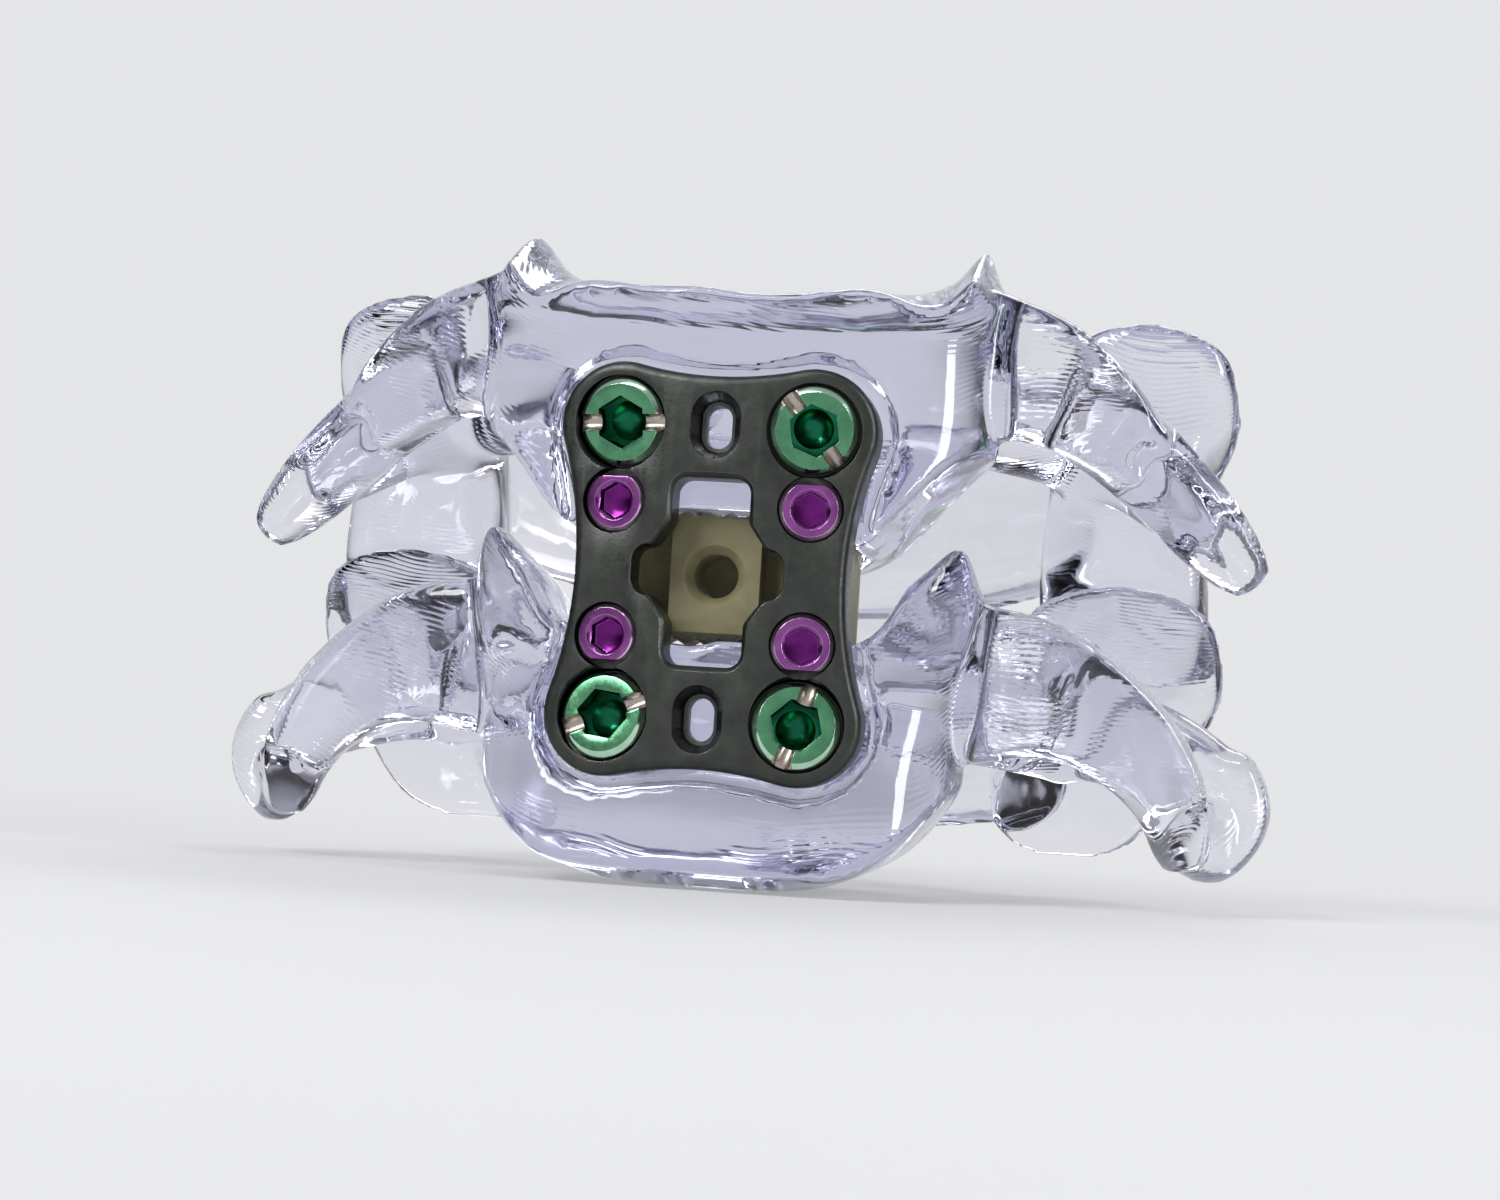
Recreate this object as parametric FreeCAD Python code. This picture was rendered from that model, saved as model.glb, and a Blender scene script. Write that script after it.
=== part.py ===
import FreeCAD, Part
import math
import os

# Spinal interbody cage, shown in place: a PEEK cage between two clear cervical vertebrae,
# held by a front plate with four bone screws and four lock screws.
# All sizes are in millimetres. The working frame has X across the spine, Y from front to
# back and Z up the spine. Y is 0 at the middle of the plate's back, Z is 0 at its middle.
# At the end everything is moved so that the origin lies under the middle, on the floor.

Vector = FreeCAD.Vector
X_AXIS = Vector(1, 0, 0)
Y_AXIS = Vector(0, 1, 0)
Z_AXIS = Vector(0, 0, 1)
MIRROR_PLANE_POINT = Vector(0, 0, 0)

# Interbody cage
cage_width = 14.0
cage_depth = 12.0
cage_height = 7.0
cage_corner_radius = 2.6
cage_setback = 0.6
tooth_height = 0.4
tooth_pitch = 1.2
cage_front_wall = 3.4
cage_rear_wall = 3.2
cage_side_wall = 3.3
graft_window_width = cage_width - 2 * cage_side_wall
graft_window_depth = cage_depth - cage_front_wall - cage_rear_wall
graft_window_corner = 1.2
inserter_hole_diameter = 2.4
inserter_hole_chamfer = 0.45
boss_wall = 0.8
boss_half_width = inserter_hole_diameter / 2 + inserter_hole_chamfer + boss_wall
grip_groove_radius = 1.85
grip_groove_cover = 0.9
grip_groove_height = cage_height - 2 * grip_groove_cover
marker_diameter = 0.8
marker_cover = 0.3
marker_side_wall = 1.7
marker_length = cage_height - 2 * (tooth_height + marker_cover)
marker_side = cage_width / 2 - marker_side_wall
marker_front_inset = 2.3
marker_rear_inset = 1.3

# Front plate
plate_thickness = 2.4
plate_curve_radius = 34.0
plate_edge_round = 0.5
lobe_across = 5.2
lobe_up = 7.75
lobe_radius = 3.35
waist_half_width = 7.3
end_dip_height = 10.45
window_half_width = 2.1
window_half_height = 5.0
window_corner = 0.8
notch_half_width = 4.1
notch_half_height = 1.2
notch_shoulder_width = 3.05
notch_shoulder_height = 2.65
window_bevel = 0.3
pin_slot_up = 7.8
pin_slot_width = 1.45
pin_slot_length = 2.3
pin_dish_width = 2.9
pin_dish_length = 3.8
pin_dish_depth = 1.2

# Bone screws
bone_screw_across = 5.25
bone_screw_up = lobe_up
bone_screw_splay = 10.0
bone_head_diameter = 4.7
bone_head_sink = 0.2
bone_head_wall = 1.1
bone_head_edge = 0.3
bone_neck_radius = 1.5
bone_thread_radius = 2.0
bone_thread_length = 10.5
bone_tip_length = 1.8
bone_hex_across_flats = 2.5
bone_hex_depth = 1.3
bone_drill_radius = 0.95
bone_slot_width = 0.9
bone_slot_depth = 0.5
bone_slot_angles = {"upper_left": 3.0, "upper_right": -52.0, "lower_left": 22.0, "lower_right": 74.0}

# Lock screws
lock_screw_across = 5.3
lock_screw_up = 3.6
lock_head_radius = 1.68
lock_head_thickness = 0.95
lock_head_sink = 0.08
lock_head_chamfer = 0.22
lock_flat_distance = 1.28
lock_shank_radius = 1.15
lock_shank_length = 1.15
lock_hex_across_flats = 1.7
lock_hex_depth = 0.7
lock_cone_depth = 0.45

# Vertebrae. Their stations are all drawn for a body 28.6 wide across its hooks, and
# vertebra_growth takes them to the width wanted. Heights are on the spine's axis.
vertebra_width = 28.6
vertebra_growth = vertebra_width / 28.6
upper_rim_height = 16.3
lower_rim_height = -3.55
upper_underside_height = 0.7
lower_underside_height = -16.75
endplate_half_gap = cage_height / 2
facet_slope = 45.0
facet_gap = 0.5

# Clearances between pieces that seat on each other
seat_margin = 0.8
endplate_clearance = 0.02
cage_side_clearance = 0.3
marker_clearance = 0.01
head_seat_clearance = 0.02
head_pocket_clearance = 0.2
lock_clearance = 0.05
bore_clearance = 0.05


def polar(radius, degrees):
    """X and Z of a point on a circle, with the angle counted from X towards Z."""
    return radius * math.cos(math.radians(degrees)), radius * math.sin(math.radians(degrees))


def face_of(edges):
    return Part.Face(Part.Wire(Part.__sortEdges__(edges)))


def mirrored(shape):
    """The same shape on the other side of the middle plane."""
    return shape.mirror(MIRROR_PLANE_POINT, X_AXIS)


def grown(*point):
    """A drawn point of a vertebra, at the size that is built."""
    return Vector(*point) * vertebra_growth


def spline_wire(points):
    """A smooth closed outline through the points."""
    curve = Part.BSplineCurve()
    curve.interpolate(points, PeriodicFlag=True)
    return Part.Wire([curve.toShape()])


def smooth_loft(wires):
    """A closed solid through the wires. Degree 3 keeps it calm where they lie close together."""
    return Part.makeLoft(wires, True, False, False, 3)


def oval_wire(centre, across, upward, half_across, half_up, squareness=2.4, points=10):
    """A rounded section between an oval and a rectangle, on two unit directions."""
    outline = []
    for step in range(points):
        turn = 2 * math.pi * step / points
        c, s = math.cos(turn), math.sin(turn)
        a = half_across * math.copysign(abs(c) ** (2 / squareness), c)
        b = half_up * math.copysign(abs(s) ** (2 / squareness), s)
        outline.append(centre + across * a + upward * b)
    return spline_wire(outline)


def limb(stations, side, rounded_start=False, rounded_end=True, squareness=2.3):
    """A smooth limb through (centre, half size along side, half size across it) stations.

    side is the direction that the first half size lies along. A rounded end is closed by
    a small dome.
    """
    dome = ((40, 0.77), (75, 0.26))
    centres = [grown(*station[0]) for station in stations]
    wires = []
    last = len(stations) - 1
    for index, (_, half_side, half_cross) in enumerate(stations):
        before = centres[max(index - 1, 0)]
        after = centres[min(index + 1, last)]
        tangent = (after - before).normalize()
        along = (side - tangent * side.dot(tangent)).normalize()
        cross = tangent.cross(along)
        half_side *= vertebra_growth
        half_cross *= vertebra_growth
        plain = (centres[index], tangent, along, cross, half_side, half_cross)
        if index == 0 and rounded_start:
            wires += [dome_wire(plain, -angle, share, squareness) for angle, share in reversed(dome)]
        wires.append(oval_wire(centres[index], along, cross, half_side, half_cross, squareness))
        if index == last and rounded_end:
            wires += [dome_wire(plain, angle, share, squareness) for angle, share in dome]
    return smooth_loft(wires)


def dome_wire(plain, angle, share, squareness):
    centre, tangent, along, cross, half_side, half_cross = plain
    reach = min(half_side, half_cross) * math.sin(math.radians(angle))
    return oval_wire(centre + tangent * reach, along, cross, half_side * share, half_cross * share, squareness)


def profile_wire(half_profile, y):
    """A closed outline in the XZ plane at depth y from its right half, top to bottom."""
    right = [grown(x, y, z) for x, z in half_profile]
    left = [grown(-x, y, z) for x, z in reversed(half_profile) if x > 0]
    return spline_wire(right + left)


def box_between(low, high):
    size = high - low
    return Part.makeBox(size.x, size.y, size.z, low)


def rounded_rectangle(half_x, half_z, radius, y):
    """A flat rounded rectangle in the XZ plane at depth y."""
    corners = []
    for sign_x, sign_z, start in ((1, 1, 0), (-1, 1, 90), (-1, -1, 180), (1, -1, 270)):
        centre = Vector(sign_x * (half_x - radius), y, sign_z * (half_z - radius))
        ends = [Vector(*polar_point(centre, radius, start + turn)) for turn in (0, 45, 90)]
        corners.append(ends)
    edges = []
    for index, ends in enumerate(corners):
        edges.append(Part.Arc(*ends).toShape())
        nearest = corners[(index + 1) % 4][0]
        if (nearest - ends[2]).Length > 1e-6:
            edges.append(Part.LineSegment(ends[2], nearest).toShape())
    return face_of(edges)


def polar_point(centre, radius, degrees):
    x, z = polar(radius, degrees)
    return centre.x + x, centre.y, centre.z + z


# Plate geometry shared by the plate, its screws and the seats in the bodies
plate_front_radius = plate_curve_radius
plate_back_radius = plate_curve_radius - plate_thickness
plate_axis_depth = plate_back_radius


def plate_front_depth(x):
    """Y of the plate's front face at a distance x from the middle."""
    return plate_axis_depth - math.sqrt(plate_front_radius ** 2 - x ** 2)


def plate_inward(x, splay=0.0):
    """The direction into the bone, square to the plate at x and then tilted up the spine."""
    lean = math.asin(x / plate_front_radius)
    flat = Vector(-math.sin(lean), math.cos(lean), 0)
    tilt = math.radians(splay)
    return (flat * math.cos(tilt) + Z_AXIS * math.sin(tilt)).normalize()


def tangent_radius(waist, centre_along, centre_off, radius):
    """Radius of the hollow arc through the waist that touches two lobes smoothly."""
    step = waist - centre_along
    return (step ** 2 + centre_off ** 2 - radius ** 2) / (2 * (radius - step))


def plate_outline(margin=0.0, y=0.0):
    """The plate's outline: four round corner lobes joined by hollow arcs, grown by margin."""
    radius = lobe_radius + margin
    side = tangent_radius(waist_half_width + margin, lobe_across, lobe_up, radius)
    end = tangent_radius(end_dip_height + margin, lobe_up, lobe_across, radius)
    side_centre = Vector(waist_half_width + margin + side, y, 0)
    end_centre = Vector(0, y, end_dip_height + margin + end)
    lobe = Vector(lobe_across, y, lobe_up)
    from_side = lobe + (side_centre - lobe).normalize() * radius
    from_end = lobe + (end_centre - lobe).normalize() * radius
    outer = lobe + Vector(1, 0, 1).normalize() * radius
    waist = Vector(waist_half_width + margin, y, 0)
    dip = Vector(0, y, end_dip_height + margin)

    def flip(point, sign_x, sign_z):
        return Vector(point.x * sign_x, point.y, point.z * sign_z)

    edges = []
    for sign_x, sign_z in ((1, 1), (-1, 1), (-1, -1), (1, -1)):
        ends = [flip(point, sign_x, sign_z) for point in (from_side, outer, from_end)]
        edges.append(Part.Arc(*ends).toShape())
    for sign in (1, -1):
        edges.append(Part.Arc(flip(from_side, sign, 1), flip(waist, sign, 1), flip(from_side, sign, -1)).toShape())
        edges.append(Part.Arc(flip(from_end, 1, sign), flip(dip, 1, sign), flip(from_end, -1, sign)).toShape())
    return face_of(edges)


def plate_cylinder(radius, half_height):
    """The upright cylinder whose front is the plate's front or back face."""
    low = Vector(0, plate_axis_depth, -half_height)
    return Part.makeCylinder(radius, 2 * half_height, low, Z_AXIS)


def rounded_polygon(corners, y):
    """A face in the XZ plane from (x, z, corner radius) triples in order."""
    points = [Vector(x, y, z) for x, z, _ in corners]
    count = len(points)
    bends = []
    for index, (_, _, radius) in enumerate(corners):
        here = points[index]
        to_last = (points[index - 1] - here).normalize()
        to_next = (points[(index + 1) % count] - here).normalize()
        half_angle = to_last.getAngle(to_next) / 2
        reach = radius / math.tan(half_angle)
        middle = (to_last + to_next).normalize() * (radius / math.sin(half_angle) - radius)
        bends.append((here + to_last * reach, here + middle, here + to_next * reach))
    edges = []
    for index, bend in enumerate(bends):
        edges.append(Part.Arc(*bend).toShape())
        edges.append(Part.LineSegment(bend[2], bends[(index + 1) % count][0]).toShape())
    return face_of(edges)


def window_outline(y):
    """The cross-shaped window: tall middle, two round side notches, sloping shoulders."""
    quarter = [
        (window_half_width, window_half_height, window_corner),
        (window_half_width, notch_shoulder_height, 0.7),
        (notch_shoulder_width, notch_half_height + 0.15, 0.5),
        (notch_half_width, notch_half_height, 0.85),
    ]
    right = quarter + [(x, -z, radius) for x, z, radius in reversed(quarter)]
    left = [(-x, z, radius) for x, z, radius in reversed(right)]
    return rounded_polygon(right + left, y)


def window_cutter():
    """The through window with a bevel round its front edge."""
    reach = 4 * plate_thickness
    through = window_outline(-reach / 2).extrude(Y_AXIS * reach)
    mouth = window_outline(plate_front_depth(0) + window_bevel)
    wider = translated(mouth.makeOffset2D(2 * window_bevel), Y_AXIS * (-2 * window_bevel))
    bevel = Part.makeLoft([mouth.OuterWire, wider.Faces[0].OuterWire], True, True)
    return through.fuse(bevel)


def slot_face(width, length, up, y):
    return translated(rounded_rectangle(width / 2, length / 2, width / 2 - 0.01, y), Vector(0, 0, up))


def translated(shape, move):
    moved = shape.copy()
    moved.translate(move)
    return moved


def pin_slot_cutter(sign):
    """A dished oval with a slot through its floor, for a holding pin."""
    reach = 3 * plate_thickness
    front = plate_front_depth(0)
    through = slot_face(pin_slot_width, pin_slot_length, sign * pin_slot_up, -reach).extrude(Y_AXIS * 2 * reach)
    mouth = slot_face(pin_dish_width, pin_dish_length, sign * pin_slot_up, front - 0.2).OuterWire
    floor = slot_face(
        pin_slot_width + 0.3, pin_slot_length + 0.4, sign * pin_slot_up, front + pin_dish_depth
    ).OuterWire
    return through.fuse(Part.makeLoft([mouth, floor], True, True))


def turned(profile):
    """A turned solid from (depth, radius) pairs. Depth runs along Z from the head's face.

    A stretch may also be an arc, given as (depth, radius, depth, radius): a point that it
    passes, and then its end.
    """
    edges = []
    first = here = Vector(profile[0][1], 0, profile[0][0])
    for station in profile[1:] + profile[:1]:
        there = Vector(station[-1], 0, station[-2])
        if len(station) == 4:
            edges.append(Part.Arc(here, Vector(station[1], 0, station[0]), there).toShape())
        else:
            edges.append(Part.LineSegment(here, there).toShape())
        here = there
    assert here == first
    return Part.Face(Part.Wire(edges)).revolve(Vector(0, 0, 0), Z_AXIS, 360)


def hex_prism(across_flats, low, high):
    """A hexagonal prism along Z with two flats facing X."""
    corner = across_flats / math.sqrt(3)
    points = [Vector(*polar(corner, 30 + 60 * step), 0) for step in range(7)]
    return Part.Face(Part.makePolygon(points)).extrude(Z_AXIS * (high - low)).translated(Vector(0, 0, low))


def placed(shape, origin, inward, spin=0.0):
    """Puts a turned piece at origin with its Z along inward, and its X near the frame's X."""
    z = inward
    x = (X_AXIS - z * X_AXIS.dot(z)).normalize()
    y = z.cross(x)
    matrix = FreeCAD.Matrix(
        x.x, y.x, z.x, origin.x,
        x.y, y.y, z.y, origin.y,
        x.z, y.z, z.z, origin.z,
        0, 0, 0, 1,
    )
    spun = shape.copy()
    spun.rotate(Vector(0, 0, 0), Z_AXIS, spin)
    spun.Placement = FreeCAD.Placement(matrix).multiply(spun.Placement)
    return spun


def bone_screw_seat(side, level):
    """Centre of a bone screw's head face, and its direction into the bone."""
    x = side * bone_screw_across
    inward = plate_inward(x, level * bone_screw_splay)
    face = Vector(x, plate_front_depth(x), level * bone_screw_up)
    return face + inward * bone_head_sink, inward


def lock_screw_seat(side, level):
    x = side * lock_screw_across
    inward = plate_inward(x)
    face = Vector(x, plate_front_depth(x), level * lock_screw_up)
    return face + inward * lock_head_sink, inward


bone_head_radius = bone_head_diameter / 2
bone_seat_depth = math.sqrt(bone_head_radius ** 2 - (bone_neck_radius + 0.35) ** 2)
bone_head_depth = bone_head_wall + bone_seat_depth
bone_thread_start = bone_head_depth + 0.6
bone_thread_end = bone_thread_start + bone_thread_length
bone_length = bone_thread_end + bone_tip_length


def ball_stretch(radius, least):
    """The round underside of a bone screw's head, down to where it is least in radius."""
    end = math.acos(least / radius)
    stretch = []
    for turn in (end / 2, end):
        stretch += [bone_head_wall + radius * math.sin(turn), radius * math.cos(turn)]
    return tuple(stretch)


def bone_screw_blank():
    """Head and shank, turned as one. The shank is plain, at the size of the thread's crests."""
    return turned([
        (0, 0), (0, bone_head_radius - bone_head_edge), (bone_head_edge, bone_head_radius),
        (bone_head_wall, bone_head_radius), ball_stretch(bone_head_radius, bone_neck_radius + 0.35),
        (bone_head_depth + 0.2, bone_neck_radius), (bone_thread_start, bone_neck_radius),
        (bone_thread_start + 0.5, bone_thread_radius), (bone_thread_end, bone_thread_radius),
        (bone_length - 0.1, 0.3), (bone_length, 0),
    ])


def bone_screw(side, level, slot_angle):
    screw = bone_screw_blank()
    socket = hex_prism(bone_hex_across_flats, -1, bone_hex_depth)
    drill = turned([
        (0, 0), (0, bone_drill_radius), (bone_hex_depth + 0.1, bone_drill_radius),
        (bone_hex_depth + 0.1 + bone_drill_radius * 0.6, 0),
    ])
    rim = bone_hex_across_flats / 2
    countersink = turned([(-0.01, 0), (-0.01, rim + 0.22), (0.3, rim - 0.05), (0.3, 0)])
    slot = box_between(
        Vector(-bone_head_radius - 1, -bone_slot_width / 2, -1),
        Vector(bone_head_radius + 1, bone_slot_width / 2, bone_slot_depth),
    )
    screw = screw.cut([socket, drill, countersink, slot])
    origin, inward = bone_screw_seat(side, level)
    return placed(screw, origin, inward, -slot_angle)


def bone_screw_pocket(side, level):
    """What a bone screw's head and shank need open in the plate."""
    mouth = bone_head_radius + head_pocket_clearance
    ball = bone_head_radius + head_seat_clearance
    shank = bone_thread_radius + 0.1
    origin, inward = bone_screw_seat(side, level)
    return placed(turned([
        (-3, 0), (-3, mouth), (bone_head_wall, mouth), (bone_head_wall, ball),
        ball_stretch(ball, shank), (8, shank), (8, 0),
    ]), origin, inward)


def bone_screw_bore(side, level):
    """The hole that a bone screw has cut in the vertebra, with its round mouth and cone end."""
    ball = bone_head_radius + head_pocket_clearance
    shank = bone_thread_radius + bore_clearance
    origin, inward = bone_screw_seat(side, level)
    return placed(turned([
        (0, 0), (0, ball), (bone_head_wall, ball), ball_stretch(ball, shank),
        (bone_thread_end, shank), (bone_length + bore_clearance, 0.3), (bone_length + 0.2, 0),
    ]), origin, inward)


def lock_screw(side, level):
    """Low round screw with a hexagon socket and one flat, which lets the bone screw pass."""
    shank_end = lock_head_thickness + lock_shank_length
    screw = turned([
        (0, 0), (0, lock_head_radius - lock_head_chamfer), (lock_head_chamfer, lock_head_radius),
        (lock_head_thickness, lock_head_radius), (lock_head_thickness, lock_shank_radius),
        (shank_end - 0.2, lock_shank_radius), (shank_end, lock_shank_radius - 0.2), (shank_end, 0),
    ])
    socket = hex_prism(lock_hex_across_flats, -1, lock_hex_depth)
    cone_radius = lock_hex_across_flats / 2 - 0.05
    cone = turned([(0, 0), (0, cone_radius), (lock_hex_depth, cone_radius), (lock_hex_depth + lock_cone_depth, 0)])
    rim = turned([(-0.01, 0), (-0.01, cone_radius + 0.3), (0.25, cone_radius), (0.25, 0)])
    flat = box_between(Vector(-3, lock_flat_distance, -1), Vector(3, lock_flat_distance + 3, lock_head_thickness))
    screw = screw.cut([socket, cone, rim, flat])
    origin, inward = lock_screw_seat(side, level)
    return placed(screw, origin, inward, 180 if level > 0 else 0)


def lock_screw_pocket(side, level):
    head = lock_head_radius + 2 * lock_clearance
    shank = lock_shank_radius + lock_clearance
    origin, inward = lock_screw_seat(side, level)
    return placed(turned([
        (-2, 0), (-2, head), (lock_head_thickness, head), (lock_head_thickness, shank), (6, shank), (6, 0),
    ]), origin, inward)


CORNERS = {
    "upper_left": (-1, 1),
    "upper_right": (1, 1),
    "lower_left": (-1, -1),
    "lower_right": (1, -1),
}


def front_plate():
    """Curved plate with four corner lobes, cut for its window, pin slots and screws."""
    tall = 2 * (lobe_up + lobe_radius)
    front_reach = 4 * plate_thickness
    blank = plate_outline(y=-front_reach).extrude(Y_AXIS * 2 * front_reach)
    blank = blank.common(plate_cylinder(plate_front_radius, tall))
    blank = blank.cut(plate_cylinder(plate_back_radius, tall))
    front_edges = []
    for edge in blank.Edges:
        middle = edge.valueAt((edge.FirstParameter + edge.LastParameter) / 2)
        if abs(middle.y - plate_front_depth(middle.x)) < 0.01:
            front_edges.append(edge)
    blank = blank.makeFillet(plate_edge_round, front_edges)
    cutters = [window_cutter(), pin_slot_cutter(1), pin_slot_cutter(-1)]
    for side, level in CORNERS.values():
        cutters += [bone_screw_pocket(side, level), lock_screw_pocket(side, level)]
    return blank.cut(cutters)


def plate_seat():
    """The milled recess in the bodies that the plate sits in."""
    deep = plate_outline(seat_margin, -10).extrude(Y_AXIS * 20)
    return deep.cut(plate_cylinder(plate_back_radius, 40))


def cage_outline(margin=0.0):
    """The cage seen from above: square at the front, round at the back."""
    half = cage_width / 2 + margin
    front = cage_setback - margin
    back = cage_setback + cage_depth + margin
    corner = cage_corner_radius
    bend = back - corner * 1.9
    edges = [
        Part.LineSegment(Vector(-half + 1, front, 0), Vector(half - 1, front, 0)).toShape(),
        Part.LineSegment(Vector(half - 1, front, 0), Vector(half, front + 1, 0)).toShape(),
        Part.LineSegment(Vector(half, front + 1, 0), Vector(half, bend, 0)).toShape(),
        Part.LineSegment(Vector(-half, bend, 0), Vector(-half, front + 1, 0)).toShape(),
        Part.LineSegment(Vector(-half, front + 1, 0), Vector(-half + 1, front, 0)).toShape(),
        Part.Arc(Vector(half, bend, 0), Vector(0, back, 0), Vector(-half, bend, 0)).toShape(),
    ]
    return face_of(edges)


def tooth_comb(level, span, middle):
    """A zigzag face that leaves rows of ridges when it is swept over one side of the cage."""
    root = level * (cage_height / 2 - tooth_height)
    crest = level * cage_height / 2
    count = math.ceil(span / tooth_pitch)
    points = []
    for step in range(-count, count):
        points += [(middle + step * tooth_pitch, root), (middle + (step + 0.5) * tooth_pitch, crest)]
    points += [(middle + count * tooth_pitch, root), (middle + count * tooth_pitch, crest + level)]
    points.append((middle - count * tooth_pitch, crest + level))
    return points


def tooth_cutters(level):
    """Two crossed combs, which leave rows of pointed teeth on one face of the cage."""
    across = [Vector(a, -1, z) for a, z in tooth_comb(level, cage_width / 2 + 1, 0)]
    middle = cage_setback + cage_depth / 2
    along = [Vector(-cage_width, a, z) for a, z in tooth_comb(level, cage_depth / 2 + 1, middle)]
    return [
        Part.Face(Part.makePolygon(across + across[:1])).extrude(Y_AXIS * (cage_depth + 4)),
        Part.Face(Part.makePolygon(along + along[:1])).extrude(X_AXIS * 2 * cage_width),
    ]


def cage():
    """PEEK block with a graft window, a threaded inserter hole and grip grooves."""
    half_height = cage_height / 2
    block = translated(cage_outline(), Vector(0, 0, -half_height)).extrude(Z_AXIS * cage_height)
    window_low = cage_setback + cage_front_wall
    window = translated(
        rounded_rectangle(graft_window_width / 2, graft_window_depth / 2, graft_window_corner, 0),
        Vector(0, 0, 0),
    )
    window.rotate(Vector(0, 0, 0), X_AXIS, 90)
    window.translate(Vector(0, window_low + graft_window_depth / 2, -half_height - 1))
    window = window.extrude(Z_AXIS * (cage_height + 2))
    front = Vector(0, cage_setback, 0)
    hole = Part.makeCylinder(inserter_hole_diameter / 2, cage_front_wall + 1, front - Y_AXIS * 0.5, Y_AXIS)
    mouth = Part.makeCone(
        inserter_hole_diameter / 2 + inserter_hole_chamfer, inserter_hole_diameter / 2,
        inserter_hole_chamfer, front, Y_AXIS,
    )
    cutters = [window, hole, mouth]
    groove_low = -grip_groove_height / 2
    for side, start in ((1, 0), (-1, 90)):
        axis = Vector(side * boss_half_width, cage_setback, groove_low)
        hollow = Part.makeCylinder(grip_groove_radius, grip_groove_height, axis, Z_AXIS, 90)
        hollow.rotate(axis, Z_AXIS, start)
        cutters.append(hollow)
        cutters.append(translated(box_between(Vector(0, -1, 0), Vector(grip_groove_radius, 0, grip_groove_height)),
                                  axis - X_AXIS * (grip_groove_radius if side < 0 else 0)))
    cutters += [marker_pin(place, marker_clearance) for place in marker_places().values()]
    block = block.cut(cutters)
    for cutter in tooth_cutters(1) + tooth_cutters(-1):
        block = block.cut(cutter)
    return block


def marker_places():
    front = cage_setback + marker_front_inset
    rear = cage_setback + cage_depth - marker_rear_inset
    return {
        "front_left": Vector(-marker_side, front, 0),
        "front_right": Vector(marker_side, front, 0),
        "rear": Vector(0, rear, 0),
    }


def marker_pin(place, grow=0.0):
    length = marker_length + 2 * grow
    return Part.makeCylinder(marker_diameter / 2 + grow, length, place - Z_AXIS * (length / 2), Z_AXIS)


def drum(levels):
    """The round body of a vertebra through (height, half width, front, back) levels."""
    wires = []
    for height, half_width, front, back in levels:
        centre = grown(0, (front + back) / 2, height)
        halves = (half_width * vertebra_growth, (back - front) / 2 * vertebra_growth)
        wires.append(oval_wire(centre, X_AXIS, Y_AXIS, *halves, 2.8, 16))
    return smooth_loft(wires)


def saddle(profile, depths):
    """A fore-and-aft form whose outline lifts and drops with depth.

    profile gives (x, z, lip) triples, where lip says how far the point sinks at the front
    and back rims, as a share of the sink that each depth asks for.
    """
    wires = []
    for y, sink in depths:
        half_profile = [(x, z - lip * sink) for x, z, lip in profile]
        wires.append(profile_wire(half_profile, y))
    return smooth_loft(wires)


def upper_body():
    """Body of the upper vertebra: a waisted drum under a saddle with two hooked edges."""
    levels = [
        (-1.0, 12.0, -0.2, 14.4),
        (3.0, 13.7, -1.5, 15.0),
        (7.5, 14.2, -0.8, 14.9),
        (12.0, 14.1, -0.5, 14.6),
        (16.5, 14.4, -1.6, 15.3),
        (21.0, 13.6, -0.6, 14.6),
    ]
    rim = upper_rim_height
    profile = [
        (0, rim, 0.25), (5, rim + 0.1, 0.25), (8.8, rim + 0.4, 0.35), (11.0, rim + 1.2, 0.8),
        (12.3, rim + 2.6, 1.0), (12.9, rim + 3.2, 1.0), (13.5, rim + 2.0, 1.0), (14.4, rim + 0.4, 0.6),
        (15.4, rim - 1.4, 0.2), (15.6, 12.0, 0), (15.1, 8.6, 0), (13.4, 7.2, -0.1),
        (10.6, 4.5, -0.1), (7.8, 1.8, -0.1), (4.5, upper_underside_height, -0.15),
        (0, upper_underside_height - 0.1, -0.15),
    ]
    depths = [(-3.0, 6.0), (0.0, 3.6), (4.0, 1.7), (8.5, 0.1), (12.0, 0.3), (17.0, 3.2)]
    return drum(levels).common(saddle(profile, depths))


def lower_body():
    """Body of the lower vertebra, with a full front lip that it stands on."""
    levels = [
        (-17.5, 11.6, -1.2, 14.6),
        (-15.0, 12.8, -2.1, 15.1),
        (-12.0, 13.2, -2.0, 15.0),
        (-8.0, 13.3, -0.6, 14.7),
        (-3.0, 13.9, -1.1, 15.0),
        (4.0, 13.4, 0.2, 14.2),
    ]
    rim = lower_rim_height
    floor = lower_underside_height
    profile = [
        (0, rim, 0.2), (4.5, rim + 0.05, 0.2), (7.4, rim + 0.2, 0.4), (8.9, rim + 1.2, 0.7),
        (10.2, rim + 3.4, 0.9), (11.8, rim + 4.9, 1.0), (12.95, rim + 5.75, 1.0), (13.6, rim + 4.6, 1.0),
        (14.4, rim + 3.0, 0.8), (15.2, rim + 0.8, 0.3), (15.2, -6.5, 0), (13.9, -9.6, 0),
        (12.2, -12.2, 0), (10.6, -14.0, 0), (8.6, floor + 1.2, -0.1), (5.8, floor + 0.25, -0.3),
        (3.0, floor, -0.35), (0, floor, -0.35),
    ]
    depths = [(-3.5, 4.0), (-1.0, 1.6), (1.6, 0.0), (5.2, 0.0), (9.0, 0.6), (13.0, 1.8), (17.0, 3.6)]
    return drum(levels).common(saddle(profile, depths))


# Directions on an articular facet: it slopes down towards the back
facet_angle = math.radians(facet_slope)
facet_down = Vector(0, math.cos(facet_angle), -math.sin(facet_angle))
facet_normal = Vector(0, math.sin(facet_angle), math.cos(facet_angle))


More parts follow.
